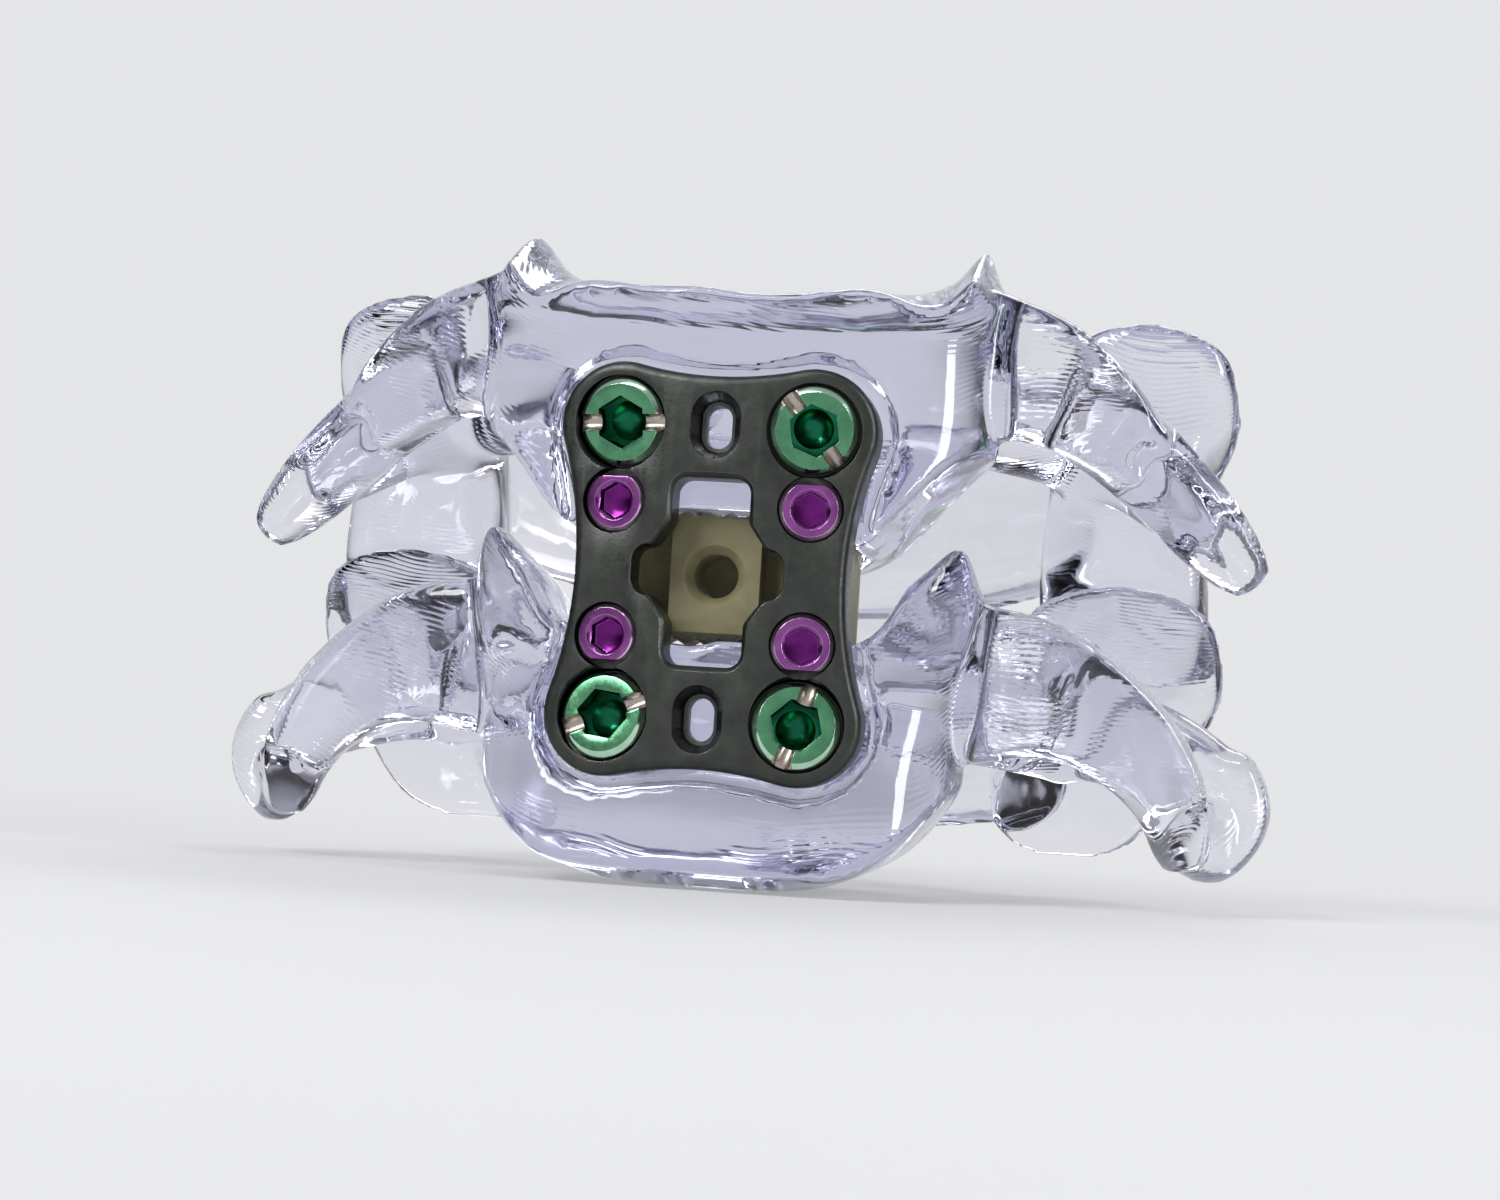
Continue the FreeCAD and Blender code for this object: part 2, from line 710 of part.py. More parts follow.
def pillar(top, bottom, stations):
    """An oblique column between two sloping facets.

    stations gives (share of the way down, x, half width, half length on the slope).
    """
    wires = []
    for share, x, half_width, half_slope in stations:
        centre = grown(x, top.y + (bottom.y - top.y) * share, top.z + (bottom.z - top.z) * share)
        halves = (half_width * vertebra_growth, half_slope * vertebra_growth)
        wires.append(oval_wire(centre, X_AXIS, facet_down, *halves, 2.6))
    return smooth_loft(wires)


upper_top_facet = Vector(0, 19.7, 14.0)
lower_top_facet = Vector(0, 19.4, -1.6)
upper_bottom_facet = lower_top_facet + facet_normal * facet_gap
lower_bottom_facet = Vector(0, 21.6, lower_underside_height + 5.3)


def upper_transverse_process():
    """Front bar ending in a small crest, rear bar, and a drooping tip hollowed like a spoon.

    The artery's hole is left between the bars. The nerve's gutter runs down the tip.
    """
    front_bar = limb([
        ((10.5, 6.2, 12.6), 2.5, 3.9), ((14.4, 6.4, 12.5), 2.3, 4.0), ((17.4, 7.2, 11.7), 1.9, 3.4),
        ((20.2, 8.1, 10.0), 1.6, 2.7), ((22.0, 8.6, 8.5), 1.1, 2.0),
    ], Y_AXIS)
    rear_bar = limb([
        ((18.5, 17.4, 9.0), 1.7, 3.0), ((22.2, 14.6, 8.0), 1.6, 2.6), ((25.4, 11.9, 5.1), 1.5, 1.8),
    ], Y_AXIS)
    tip = limb([
        ((17.6, 8.8, 11.0), 1.6, 2.4), ((21.0, 9.9, 9.2), 1.9, 2.6), ((24.2, 10.8, 6.4), 1.9, 2.4),
        ((27.9, 11.6, 2.6), 1.4, 1.65),
    ], Y_AXIS)
    gutter = limb([
        ((22.6, 7.7, 8.0), 1.1, 1.3), ((24.4, 8.3, 6.1), 1.2, 1.5), ((26.6, 9.2, 3.8), 1.2, 1.3),
        ((27.7, 9.9, 2.7), 0.9, 0.9),
    ], Y_AXIS, rounded_start=True)
    return front_bar, rear_bar, tip, gutter


def lower_transverse_process():
    """Front bar with a hooked tubercle, and a rear bar with an upright tubercle behind it."""
    front_bar = limb([
        ((10.5, 6.0, -4.9), 2.5, 4.0), ((14.6, 6.2, -4.9), 2.3, 4.3), ((18.6, 6.9, -5.4), 1.9, 3.6),
        ((22.6, 8.0, -7.8), 1.7, 2.7), ((25.0, 8.7, -11.2), 1.5, 2.0), ((25.4, 8.9, -13.3), 1.2, 1.5),
    ], Y_AXIS)
    rear_bar = limb([
        ((18.5, 17.4, -7.0), 1.7, 3.2), ((23.0, 14.4, -7.7), 1.6, 2.8), ((27.2, 13.2, -9.5), 1.5, 2.1),
    ], Y_AXIS)
    tubercle = limb([
        ((28.1, 13.1, -9.0), 1.6, 1.5), ((28.9, 12.9, -11.5), 1.6, 1.3), ((28.0, 12.3, -13.3), 1.4, 1.2),
    ], Y_AXIS, rounded_start=True, squareness=2.8)
    floor = limb([
        ((25.5, 9.9, -12.7), 1.8, 1.2), ((26.8, 11.1, -12.8), 2.3, 1.3), ((27.9, 12.3, -12.4), 2.2, 1.2),
    ], Z_AXIS, rounded_start=True)
    return front_bar, rear_bar, tubercle, floor


def pedicle(height):
    """The short bridge from the body's rear corner to the pillar."""
    return limb([
        ((9.5, 11.0, height + 0.6), 3.1, 2.6), ((13.5, 14.2, height + 0.3), 3.0, 2.4),
        ((18.5, 18.0, height), 3.4, 3.0),
    ], Z_AXIS, rounded_end=False)


def lamina(stations):
    """The arch behind the canal, one smooth limb from pillar to pillar."""
    mirrored_half = [((-x, y, z), half_up, half_thick) for (x, y, z), half_up, half_thick in stations[:-1]]
    return limb(mirrored_half + list(reversed(stations)), Z_AXIS, rounded_end=False)


def spinous_process(stations, tip, tip_radius):
    """The keel at the back, split into two small knobs at its end."""
    keel = limb(stations, Z_AXIS)
    knob = limb([
        ((0.2, tip.y - 3.0, tip.z + 0.4), tip_radius, tip_radius),
        ((tip.x * 0.6, tip.y - 1.2, tip.z + 0.1), tip_radius, tip_radius),
        ((tip.x, tip.y, tip.z), tip_radius * 0.85, tip_radius * 0.85),
    ], Z_AXIS, rounded_start=True)
    return keel, knob


def fused_vertebra(body, one_sided, shared):
    pieces = []
    for shape in one_sided:
        pieces += [shape, mirrored(shape)]
    return body.fuse(pieces + list(shared))


def upper_vertebra():
    column = pillar(upper_top_facet, upper_bottom_facet, [
        (0.0, 21.8, 4.6, 4.2), (0.06, 22.0, 5.3, 4.8), (0.3, 21.5, 4.9, 4.6), (0.6, 21.1, 4.7, 4.6),
        (1.0, 21.3, 4.8, 4.4),
    ])
    arch = lamina([
        ((18.5, 21.8, 5.8), 3.6, 1.9), ((10.5, 28.4, 5.0), 5.0, 1.7), ((0.0, 32.0, 4.4), 5.0, 1.9),
    ])
    keel, knob = spinous_process([
        ((0, 30.5, 4.0), 4.2, 2.2), ((0, 37.0, 2.6), 3.2, 1.7), ((0, 44.5, 0.5), 2.3, 2.0),
    ], Vector(3.2, 47.2, -0.6), 1.7)
    front_bar, rear_bar, tip, gutter = upper_transverse_process()
    one_sided = [column, front_bar, rear_bar, tip, pedicle(10.4), knob]
    solid = fused_vertebra(upper_body(), one_sided, [arch, keel])
    return finished_vertebra(solid, 1, [gutter, mirrored(gutter)])


def lower_vertebra():
    column = pillar(lower_top_facet, lower_bottom_facet, [
        (0.0, 21.1, 5.1, 4.4), (0.08, 21.2, 6.0, 5.2), (0.4, 20.8, 5.5, 4.9), (0.75, 19.4, 5.2, 4.7),
        (1.0, 18.4, 4.6, 4.5),
    ])
    arch = lamina([
        ((17.0, 22.6, -9.4), 2.6, 1.9), ((10.5, 28.4, -8.8), 4.4, 1.7), ((0.0, 32.0, -9.2), 4.6, 1.9),
    ])
    keel, knob = spinous_process([
        ((0, 30.5, -9.4), 4.0, 2.2), ((0, 37.5, -11.0), 3.1, 1.7), ((0, 45.5, -13.4), 2.4, 2.1),
    ], Vector(3.4, 48.4, lower_underside_height + 1.8), 1.8)
    front_bar, rear_bar, tubercle, floor = lower_transverse_process()
    one_sided = [column, front_bar, rear_bar, tubercle, floor, pedicle(-6.6), knob]
    solid = fused_vertebra(lower_body(), one_sided, [arch, keel])
    return finished_vertebra(solid, -1)


def cage_slot():
    """The prepared disc space that the cage is pressed into."""
    half = endplate_half_gap + endplate_clearance
    pocket = translated(cage_outline(cage_side_clearance), Vector(0, 0, -half)).extrude(Z_AXIS * 2 * half)
    width = cage_width / 2 + cage_side_clearance
    mouth = box_between(Vector(-width, -8, -half), Vector(width, cage_setback + 1.5, half))
    return pocket.fuse(mouth)


def finished_vertebra(solid, level, hollows=()):
    """Cuts the plate's seat, the cage's slot, the screw bores and any hollows."""
    cutters = [plate_seat(), cage_slot(), bone_screw_bore(-1, level), bone_screw_bore(1, level)]
    return solid.cut(cutters + list(hollows))


def build():
    nodes = {
        "upper_vertebra": upper_vertebra(),
        "lower_vertebra": lower_vertebra(),
        "interbody_cage": cage(),
        "front_plate": front_plate(),
    }
    for name, place in marker_places().items():
        nodes["cage_marker_" + name] = marker_pin(place)
    for name, (side, level) in CORNERS.items():
        nodes["bone_screw_" + name] = bone_screw(side, level, bone_slot_angles[name])
        nodes["lock_screw_" + name] = lock_screw(side, level)
    return nodes


def settled(nodes):
    """Moves the whole so that the origin lies under its middle, on the floor."""
    whole = Part.makeCompound(list(nodes.values())).optimalBoundingBox(False)
    shift = Vector(0, -(whole.YMin + whole.YMax) / 2, -whole.ZMin)
    print("shift to the row frame", [round(value, 4) for value in shift])
    print("size", round(whole.XLength, 3), round(whole.YLength, 3), round(whole.ZLength, 3))
    return {name: translated(shape, shift) for name, shape in nodes.items()}


def main():
    os.makedirs("parts", exist_ok=True)
    for name, shape in settled(build()).items():
        solids = len(shape.Solids)
        print(name, "solids", solids, "valid", shape.isValid(), "volume", round(shape.Volume, 2))
        shape.exportStep("parts/" + name + ".step")


if __name__ == "__main__":
    main()
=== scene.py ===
import bmesh
import bpy
import math
import numpy as np
from functools import partial
from mathutils import Matrix, Vector
from mathutils.bvhtree import BVHTree


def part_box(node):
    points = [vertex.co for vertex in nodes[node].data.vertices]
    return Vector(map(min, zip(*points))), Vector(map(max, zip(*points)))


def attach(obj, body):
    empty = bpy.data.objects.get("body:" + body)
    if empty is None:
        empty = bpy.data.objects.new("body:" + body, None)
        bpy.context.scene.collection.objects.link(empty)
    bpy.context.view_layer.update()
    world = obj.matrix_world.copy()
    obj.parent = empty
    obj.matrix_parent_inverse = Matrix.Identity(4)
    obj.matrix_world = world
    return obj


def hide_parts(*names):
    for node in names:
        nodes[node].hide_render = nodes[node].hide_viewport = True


mm = 0.001
noiseRoughness = 0.55

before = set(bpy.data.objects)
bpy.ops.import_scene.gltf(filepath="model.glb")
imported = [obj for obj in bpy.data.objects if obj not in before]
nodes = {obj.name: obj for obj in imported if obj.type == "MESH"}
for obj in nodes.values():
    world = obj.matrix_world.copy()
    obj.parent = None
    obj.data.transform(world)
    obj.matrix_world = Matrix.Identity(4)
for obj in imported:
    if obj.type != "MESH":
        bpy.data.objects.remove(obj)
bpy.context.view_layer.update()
print("stage: frame loaded", len(nodes), "nodes")

corners = {
    "upper_left": (-1, 1),
    "upper_right": (1, 1),
    "lower_left": (-1, -1),
    "lower_right": (1, -1),
}

# The plate's middle gives the place that all the front pieces are measured from
plateLow, plateHigh = (Vector(corner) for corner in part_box("front_plate"))
plateThickness = 2.4 * mm
plateCentre = Vector((0, plateLow.y + plateThickness, (plateLow.z + plateHigh.z) / 2))


# Shader helpers

def newMaterial(name):
    material = bpy.data.materials.new(name)
    material.use_nodes = True
    tree = material.node_tree
    shader = tree.nodes["Principled BSDF"]
    return material, tree, shader


# A node with its settings and its inputs, each a constant or another node's output.
def addNode(tree, kind, settings=None, **inputs):
    node = tree.nodes.new(kind)
    for key, value in (settings or {}).items():
        setattr(node, key, value)
    for key, value in inputs.items():
        socket = node.inputs[int(key[1:])] if key[0] == "i" and key[1:].isdigit() else node.inputs[key]
        if isinstance(value, bpy.types.NodeSocket):
            tree.links.new(value, socket)
        else:
            socket.default_value = value
    return node


# Object coordinates in millimetres, stretched for a pattern.
def objectCoords(tree, stretch=(1, 1, 1)):
    coords = addNode(tree, "ShaderNodeTexCoord")
    size = tuple(1000 * part for part in stretch)
    mapping = addNode(tree, "ShaderNodeMapping", Scale=size, Vector=coords.outputs["Object"])
    return mapping.outputs["Vector"]


def noiseAt(tree, scale, detail=3.0, stretch=(1, 1, 1)):
    noise = addNode(
        tree, "ShaderNodeTexNoise",
        Scale=scale, Detail=detail, Roughness=noiseRoughness, Vector=objectCoords(tree, stretch),
    )
    return noise.outputs["Fac"]


# A calculation on one or two values, each a constant or another node's output.
def mathOf(tree, operation, first, second=None):
    inputs = {"i0": first}
    if second is not None:
        inputs["i1"] = second
    return addNode(tree, "ShaderNodeMath", {"operation": operation}, **inputs).outputs[0]


def rangeOf(tree, value, low, high, fromLow=0.3, fromHigh=0.7):
    settings = {"clamp": True}
    node = addNode(tree, "ShaderNodeMapRange", settings, i0=value, i1=fromLow, i2=fromHigh, i3=low, i4=high)
    return node.outputs["Result"]


def blendColours(tree, factor, first, second):
    node = addNode(tree, "ShaderNodeMix", {"data_type": "RGBA"}, i0=factor, i6=(*first, 1), i7=(*second, 1))
    return node.outputs[2]


def bumpOf(tree, height, strength, distance, below=None):
    inputs = {"Strength": strength, "Distance": distance * mm, "Height": height}
    if below is not None:
        inputs["Normal"] = below
    return addNode(tree, "ShaderNodeBump", None, **inputs).outputs["Normal"]


def wire(tree, output, shader, name):
    tree.links.new(output, shader.inputs[name])


# Materials

resinLook = {
    "tint": (0.955, 0.955, 0.985),
    "absorb": (0.62, 0.62, 0.8),
    "density": 58.0,
    "ior": 1.5,
    "cloudScale": 0.35,
    "cloudiest": 0.09,
    "wanderScale": 0.25,
    "wander": 0.9,
    "ridgePitch": 0.27,
    "ridgeDepth": 0.0065,
    "ridgeDirection": (0.1, -0.55, 0.83),
    "ridgedBefore": -7.0,
    "clearBeyond": -3.0,
    "bladeFrom": 12.0,
    "bladeFull": 13.5,
    "offBlade": 0.3,
    "patchScale": 0.22,
    "patchFrom": 0.46,
    "patchFull": 0.58,
    "betweenPatches": 0.02,
    "rippleScale": 0.5,
    "rippleStrength": 0.5,
    "ripple": 0.05,
}


# Clear cast resin with a lavender body. Its front half has fine ridges in patches, strongest
# on the transverse processes.
def resinMaterial():
    look = resinLook
    material, tree, shader = newMaterial("clearResin")
    shader.inputs["Base Color"].default_value = (*look["tint"], 1)
    shader.inputs["Transmission Weight"].default_value = 1.0
    shader.inputs["IOR"].default_value = look["ior"]
    cloud = noiseAt(tree, look["cloudScale"], 1.0)
    wire(tree, rangeOf(tree, cloud, 0.0, look["cloudiest"]), shader, "Roughness")
    place = objectCoords(tree)
    wander = addNode(tree, "ShaderNodeTexNoise", Scale=look["wanderScale"], Detail=0.0, Vector=place)
    shifted = addNode(
        tree, "ShaderNodeVectorMath", {"operation": "MULTIPLY_ADD"},
        i0=wander.outputs["Color"], i1=(look["wander"],) * 3, i2=place,
    )
    climb = addNode(
        tree, "ShaderNodeVectorMath", {"operation": "DOT_PRODUCT"},
        i0=shifted.outputs[0], i1=look["ridgeDirection"],
    )
    wave = mathOf(
        tree, "SINE", mathOf(tree, "MULTIPLY", climb.outputs["Value"], math.tau / look["ridgePitch"]),
    )
    split = addNode(tree, "ShaderNodeSeparateXYZ", Vector=place)
    aside = mathOf(tree, "ABSOLUTE", split.outputs["X"])
    onBlade = rangeOf(tree, aside, look["offBlade"], 1.0, look["bladeFrom"], look["bladeFull"])
    patches = noiseAt(tree, look["patchScale"], 1.0)
    patches = rangeOf(tree, patches, look["betweenPatches"], 1.0, look["patchFrom"], look["patchFull"])
    front = rangeOf(tree, split.outputs["Y"], 1.0, 0.0, look["ridgedBefore"], look["clearBeyond"])
    mask = mathOf(tree, "MULTIPLY", mathOf(tree, "MULTIPLY", onBlade, patches), front)
    ridges = bumpOf(tree, mathOf(tree, "MULTIPLY", wave, mask), 1.0, look["ridgeDepth"])
    ripple = noiseAt(tree, look["rippleScale"], 1.0)
    wire(tree, bumpOf(tree, ripple, look["rippleStrength"], look["ripple"], ridges), shader, "Normal")
    absorption = addNode(
        tree, "ShaderNodeVolumeAbsorption", Color=(*look["absorb"], 1), Density=look["density"],
    )
    tree.links.new(absorption.outputs[0], tree.nodes["Material Output"].inputs["Volume"])
    return material


metalLook = {
    "cloudScale": 0.8,
    "glossScale": 4.0,
    "glossiest": 0.8,
    "dullest": 1.25,
    "grainScale": 7.0,
    "grainStrength": 0.5,
}


# A metal whose colour, gloss and grain all vary a little over the surface.
def metalMaterial(name, colour, dark, roughness, grain):
    look = metalLook
    material, tree, shader = newMaterial(name)
    cloud = rangeOf(tree, noiseAt(tree, look["cloudScale"], 4.0), 0.0, 1.0)
    wire(tree, blendColours(tree, cloud, dark, colour), shader, "Base Color")
    shader.inputs["Metallic"].default_value = 1.0
    gloss = noiseAt(tree, look["glossScale"])
    gloss = rangeOf(tree, gloss, roughness * look["glossiest"], roughness * look["dullest"])
    wire(tree, gloss, shader, "Roughness")
    fine = noiseAt(tree, look["grainScale"], 2.0)
    wire(tree, bumpOf(tree, fine, look["grainStrength"], grain), shader, "Normal")
    return material


# Colour, darker colour, roughness and depth of grain in millimetres. The pale edge colours are painted
# highlights and the dark socket colours painted shade.
metalColoursAndPaintedLight = {
    "darkTitanium": ((0.076, 0.08, 0.074), (0.052, 0.055, 0.051), 0.4, 0.02),
    # Pale painted highlight for the plate's eased edges
    "darkTitaniumEdgeHighlight": ((0.62, 0.63, 0.6), (0.34, 0.35, 0.33), 0.26, 0.004),
    "greenTitanium": ((0.13, 0.35, 0.19), (0.07, 0.23, 0.12), 0.24, 0.0012),
    # Pale painted highlight for the bone screws' rims
    "greenTitaniumRimHighlight": ((0.62, 0.86, 0.68), (0.42, 0.66, 0.48), 0.16, 0.001),
    # Dark painted shade inside the bone screws' sockets
    "greenTitaniumSocketShade": ((0.014, 0.17, 0.085), (0.008, 0.1, 0.05), 0.2, 0.001),
    "purpleTitanium": ((0.32, 0.1, 0.34), (0.2, 0.05, 0.23), 0.2, 0.0012),
    # Pale painted highlight for the lock screws' rims
    "purpleTitaniumRimHighlight": ((0.8, 0.6, 0.8), (0.6, 0.4, 0.62), 0.15, 0.001),
    # Dark painted shade inside the lock screws' sockets
    "purpleTitaniumSocketShade": ((0.17, 0.02, 0.19), (0.1, 0.01, 0.12), 0.18, 0.001),
    "bareTitanium": ((0.52, 0.47, 0.42), (0.36, 0.32, 0.28), 0.3, 0.006),
    "markerMetal": ((0.6, 0.6, 0.62), (0.45, 0.45, 0.47), 0.25, 0.003),
}

polymerLook = {
    "dark": (0.22, 0.2, 0.102),
    "pale": (0.285, 0.262, 0.138),
    "cloudScale": 0.9,
    "glossScale": 3.0,
    "glossiest": 0.42,
    "dullest": 0.6,
    "softness": 0.12,
    "softDepth": 0.4 * mm,
    "grainScale": 5.0,
    "grainStretch": (0.4, 1, 3),
    "grainStrength": 0.5,
    "grainDepth": 0.01,
}


# Tan implant polymer with fine milling marks.
def polymerMaterial():
    look = polymerLook
    material, tree, shader = newMaterial("implantPolymer")
    cloud = rangeOf(tree, noiseAt(tree, look["cloudScale"]), 0.0, 1.0)
    wire(tree, blendColours(tree, cloud, look["dark"], look["pale"]), shader, "Base Color")
    gloss = rangeOf(tree, noiseAt(tree, look["glossScale"]), look["glossiest"], look["dullest"])
    wire(tree, gloss, shader, "Roughness")
    shader.inputs["Subsurface Weight"].default_value = look["softness"]
    shader.inputs["Subsurface Scale"].default_value = look["softDepth"]
    grain = noiseAt(tree, look["grainScale"], 2.0, look["grainStretch"])
    wire(tree, bumpOf(tree, grain, look["grainStrength"], look["grainDepth"]), shader, "Normal")
    return material


resin = resinMaterial()
metals = {name: metalMaterial(name, *finish) for name, finish in metalColoursAndPaintedLight.items()}
polymer = polymerMaterial()
print("stage: materials made")


# Mesh helpers

def takeMaterial(target, material):
    target.data.materials.clear()
    target.data.materials.append(material)


# The source with its modifiers applied, as a new mesh.
def plainMesh(source, name):
    bpy.context.view_layer.update()
    graph = bpy.context.evaluated_depsgraph_get()
    mesh = bpy.data.meshes.new_from_object(source.evaluated_get(graph))
    mesh.name = name
    return mesh


def addPiece(name, mesh, replaced):
    piece = bpy.data.objects.new(name, mesh)
    bpy.context.scene.collection.objects.link(piece)
    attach(piece, "root")
    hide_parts(*replaced)
    return piece


# Keeps only the material slots that some face uses.
def usedSlots(mesh):
    places = np.empty(len(mesh.polygons), dtype=np.int32)
    mesh.polygons.foreach_get("material_index", places)
    used = np.unique(places)
    kept = [mesh.materials[int(index)] for index in used]
    mesh.materials.clear()
    for material in kept:
        mesh.materials.append(material)
    mesh.polygons.foreach_set("material_index", np.searchsorted(used, places).astype(np.int32))


easeLook = {
    "segments": 2,
    "smoothBelow": 34,
}


# The mesh with its corners bevelled, in the last material slot, which on the plate and the screws is a pale
# painted highlight: those with a bevel weight, or where an angle is given, all that are sharper than it.
def easedMesh(mesh, width, angle=None):
    blank = bpy.data.objects.new(mesh.name, mesh)
    bpy.context.scene.collection.objects.link(blank)
    ease = blank.modifiers.new("ease", "BEVEL")
    ease.limit_method = "ANGLE" if angle else "WEIGHT"
    ease.angle_limit = math.radians(angle or 0)
    ease.width = width
    ease.segments = easeLook["segments"]
    # Bevel faces take the last slot, a pale painted highlight on the plate and the screws
    ease.material = len(mesh.materials) - 1
    eased = plainMesh(blank, mesh.name)
    bpy.data.objects.remove(blank)
    eased.shade_smooth()
    eased.set_sharp_from_angle(angle=math.radians(easeLook["smoothBelow"]))
    return eased


vertebraLook = {
    "voxel": 0.275 * mm,
    "passes": 15,
    "everywherePasses": 4,
    "strength": 0.6,
    "spring": 0.98,
    "weld": 0.0005 * mm,
    "keptWithin": 0.45 * mm,
    "freeBeyond": 1.6 * mm,
    "crumbBelow": 500,
}


# Deletes loose crumbs, which the even mesh can leave where a wall is thinner than its squares.
def withoutCrumbs(mesh):
    form = bmesh.new()
    form.from_mesh(mesh)
    crumbs, seen = [], set()
    for start in form.verts:
        if start in seen:
            continue
        seen.add(start)
        island = [start]
        for vertex in island:
            for edge in vertex.link_edges:
                other = edge.other_vert(vertex)
                if other not in seen:
                    seen.add(other)
                    island.append(other)
        if len(island) < vertebraLook["crumbBelow"]:
            crumbs += island
    bmesh.ops.delete(form, geom=crumbs, context="VERTS")
    form.to_mesh(mesh)
    form.free()


# A copy of a CAD node as an even mesh of small squares.
def remeshed(source):
    copy = source.copy()
    copy.data = source.data.copy()
    copy.parent = None
    bpy.context.scene.collection.objects.link(copy)
    weld = copy.modifiers.new("weld", "WELD")
    weld.merge_threshold = vertebraLook["weld"]
    even = copy.modifiers.new("even", "REMESH")
    even.mode = "VOXEL"
    even.voxel_size = vertebraLook["voxel"]
    mesh = plainMesh(copy, source.name + "Even")
    bpy.data.objects.remove(copy)
    withoutCrumbs(mesh)
    return mesh


# One search tree over several CAD nodes.
def treeOf(names):
    points, faces = [], []
    for name in names:
        mesh = nodes[name].data
        base = len(points)
        points += [vertex.co.copy() for vertex in mesh.vertices]
        faces += [[base + corner for corner in face.vertices] for face in mesh.polygons]
    return BVHTree.FromPolygons(points, faces)


# Each cast has rows of a blade's middle line in millimetres from the plate's middle: x, y, z,
# half its thickness and half its height. The same rows serve both sides.
bladeLook = {
    "rounded": 2.3,
    "squared": 4.2,
    "hollow": 0.3,
    "startsAt": 12.6,
    "fullAt": 14.4,
    "frontGain": 3,
    "coreTo": 0.4,
    "edgeTo": 1.4,
    "fade": 0.3,
    "tipRows": 1.15,
    "tipFade": 0.6,
    "upperCast": [
        (10.5, 6.2, 12.6, 2.5, 3.9), (14.4, 6.4, 12.5, 2.3, 4.0), (17.4, 7.2, 11.7, 1.9, 3.4),
        (20.2, 8.1, 10.0, 1.6, 2.7), (22.0, 8.6, 8.5, 1.1, 2.0),
    ],
    "lowerCast": [
        (10.5, 6.0, -4.9, 2.5, 4.0), (14.6, 6.2, -4.9, 2.3, 4.3), (18.6, 6.9, -5.4, 1.9, 3.6),
        (22.6, 8.0, -7.8, 1.7, 2.7), (25.0, 8.7, -11.2, 1.5, 2.0), (25.4, 8.9, -13.3, 1.2, 1.5),
    ],
}


# The front of each transverse process as a flat, slightly hollow face between crisp rims.
def flattenedBlade(places, rows):
    look = bladeLook
    local = (places - np.array(plateCentre)) / mm
    side = np.where(local[:, 0] < 0, -1.0, 1.0)
    local[:, 0] *= side
    rows = np.array(rows)
    nearest = np.full(len(local), np.inf)
    middle = np.zeros_like(local)
    halves = np.ones((len(local), 2))
    along = np.zeros_like(local)
    travel = np.zeros(len(local))
    for index, (first, second) in enumerate(zip(rows[:-1], rows[1:])):
        run = second[:3] - first[:3]
        share = np.clip((local - first[:3]) @ run / (run @ run), 0, 1)
        centre = first[:3] + share[:, None] * run
        apart = np.linalg.norm(local - centre, axis=1)
        closer = apart < nearest
        nearest[closer] = apart[closer]
        middle[closer] = centre[closer]
        halves[closer] = (first[3:] + share[:, None] * (second[3:] - first[3:]))[closer]
        along[closer] = run / np.linalg.norm(run)
        travel[closer] = index + share[closer]
    outward = np.array((0, 1, 0)) - along * along[:, 1:2]
    outward /= np.linalg.norm(outward, axis=1)[:, None] + 1e-9
    upward = np.cross(along, outward)
    offset = local - middle
    u = (offset * outward).sum(axis=1) / halves[:, 0]
    v = (offset * upward).sum(axis=1) / halves[:, 1]
    reach = (abs(u) ** look["rounded"] + abs(v) ** look["rounded"]) ** (1 / look["rounded"]) + 1e-9
    squared = (abs(u) ** look["squared"] + abs(v) ** look["squared"]) ** (1 / look["squared"]) + 1e-9
    amount = np.clip(-look["frontGain"] * u, 0, 1)
    amount *= np.clip((look["edgeTo"] - reach) / look["fade"], 0, 1)
    amount *= np.clip((reach - look["coreTo"]) / look["fade"], 0, 1)
    amount *= np.clip((local[:, 0] - look["startsAt"]) / (look["fullAt"] - look["startsAt"]), 0, 1)
    amount *= np.clip((len(rows) - look["tipRows"] - travel) / look["tipFade"], 0, 1)
    growth = (reach / squared - 1) * amount
    hollow = look["hollow"] * np.clip(1 - v * v, 0, 1) * amount
    local += outward * (u * growth * halves[:, 0] + hollow)[:, None]
    local += upward * (v * growth * halves[:, 1])[:, None]
    local[:, 0] *= side
    return local * mm + np.array(plateCentre)


# A cast form: soft where it is as cast, and crisp near the worked seats and bores.
def smoothedCast(source, worked, blade):
    look = vertebraLook
    mesh = remeshed(source)
    count = len(mesh.vertices)
    places = np.empty(count * 3)
    mesh.vertices.foreach_get("co", places)
    places = places.reshape(-1, 3)
    edges = np.empty(len(mesh.edges) * 2, dtype=np.int64)
    mesh.edges.foreach_get("vertices", edges)
    edges = edges.reshape(-1, 2)
    reach = look["freeBeyond"]
    freedom = np.ones(count)
    for index, place in enumerate(places):
        found = worked.find_nearest(place, reach)
        if found[0] is not None:
            share = (found[3] - look["keptWithin"]) / (reach - look["keptWithin"])
            freedom[index] = min(max(share, 0.0), 1.0)
    degree = np.bincount(edges.ravel(), minlength=count)
    for step in range(look["passes"]):
        everywhere = step < look["everywherePasses"]
        for factor in (look["strength"], -look["strength"] * look["spring"]):
            if factor < 0 and step % 2 == 0 and not everywhere:
                continue
            total = np.zeros_like(places)
            for axis in range(3):
                total[:, axis] = (
                    np.bincount(edges[:, 0], places[edges[:, 1], axis], count)
                    + np.bincount(edges[:, 1], places[edges[:, 0], axis], count)
                )
            shift = total / degree[:, None] - places
            places += shift * factor * (1.0 if everywhere else freedom[:, None])
    places = flattenedBlade(places, blade)
    mesh.vertices.foreach_set("co", places.ravel())
    mesh.update()
    mesh.shade_smooth()
    return mesh


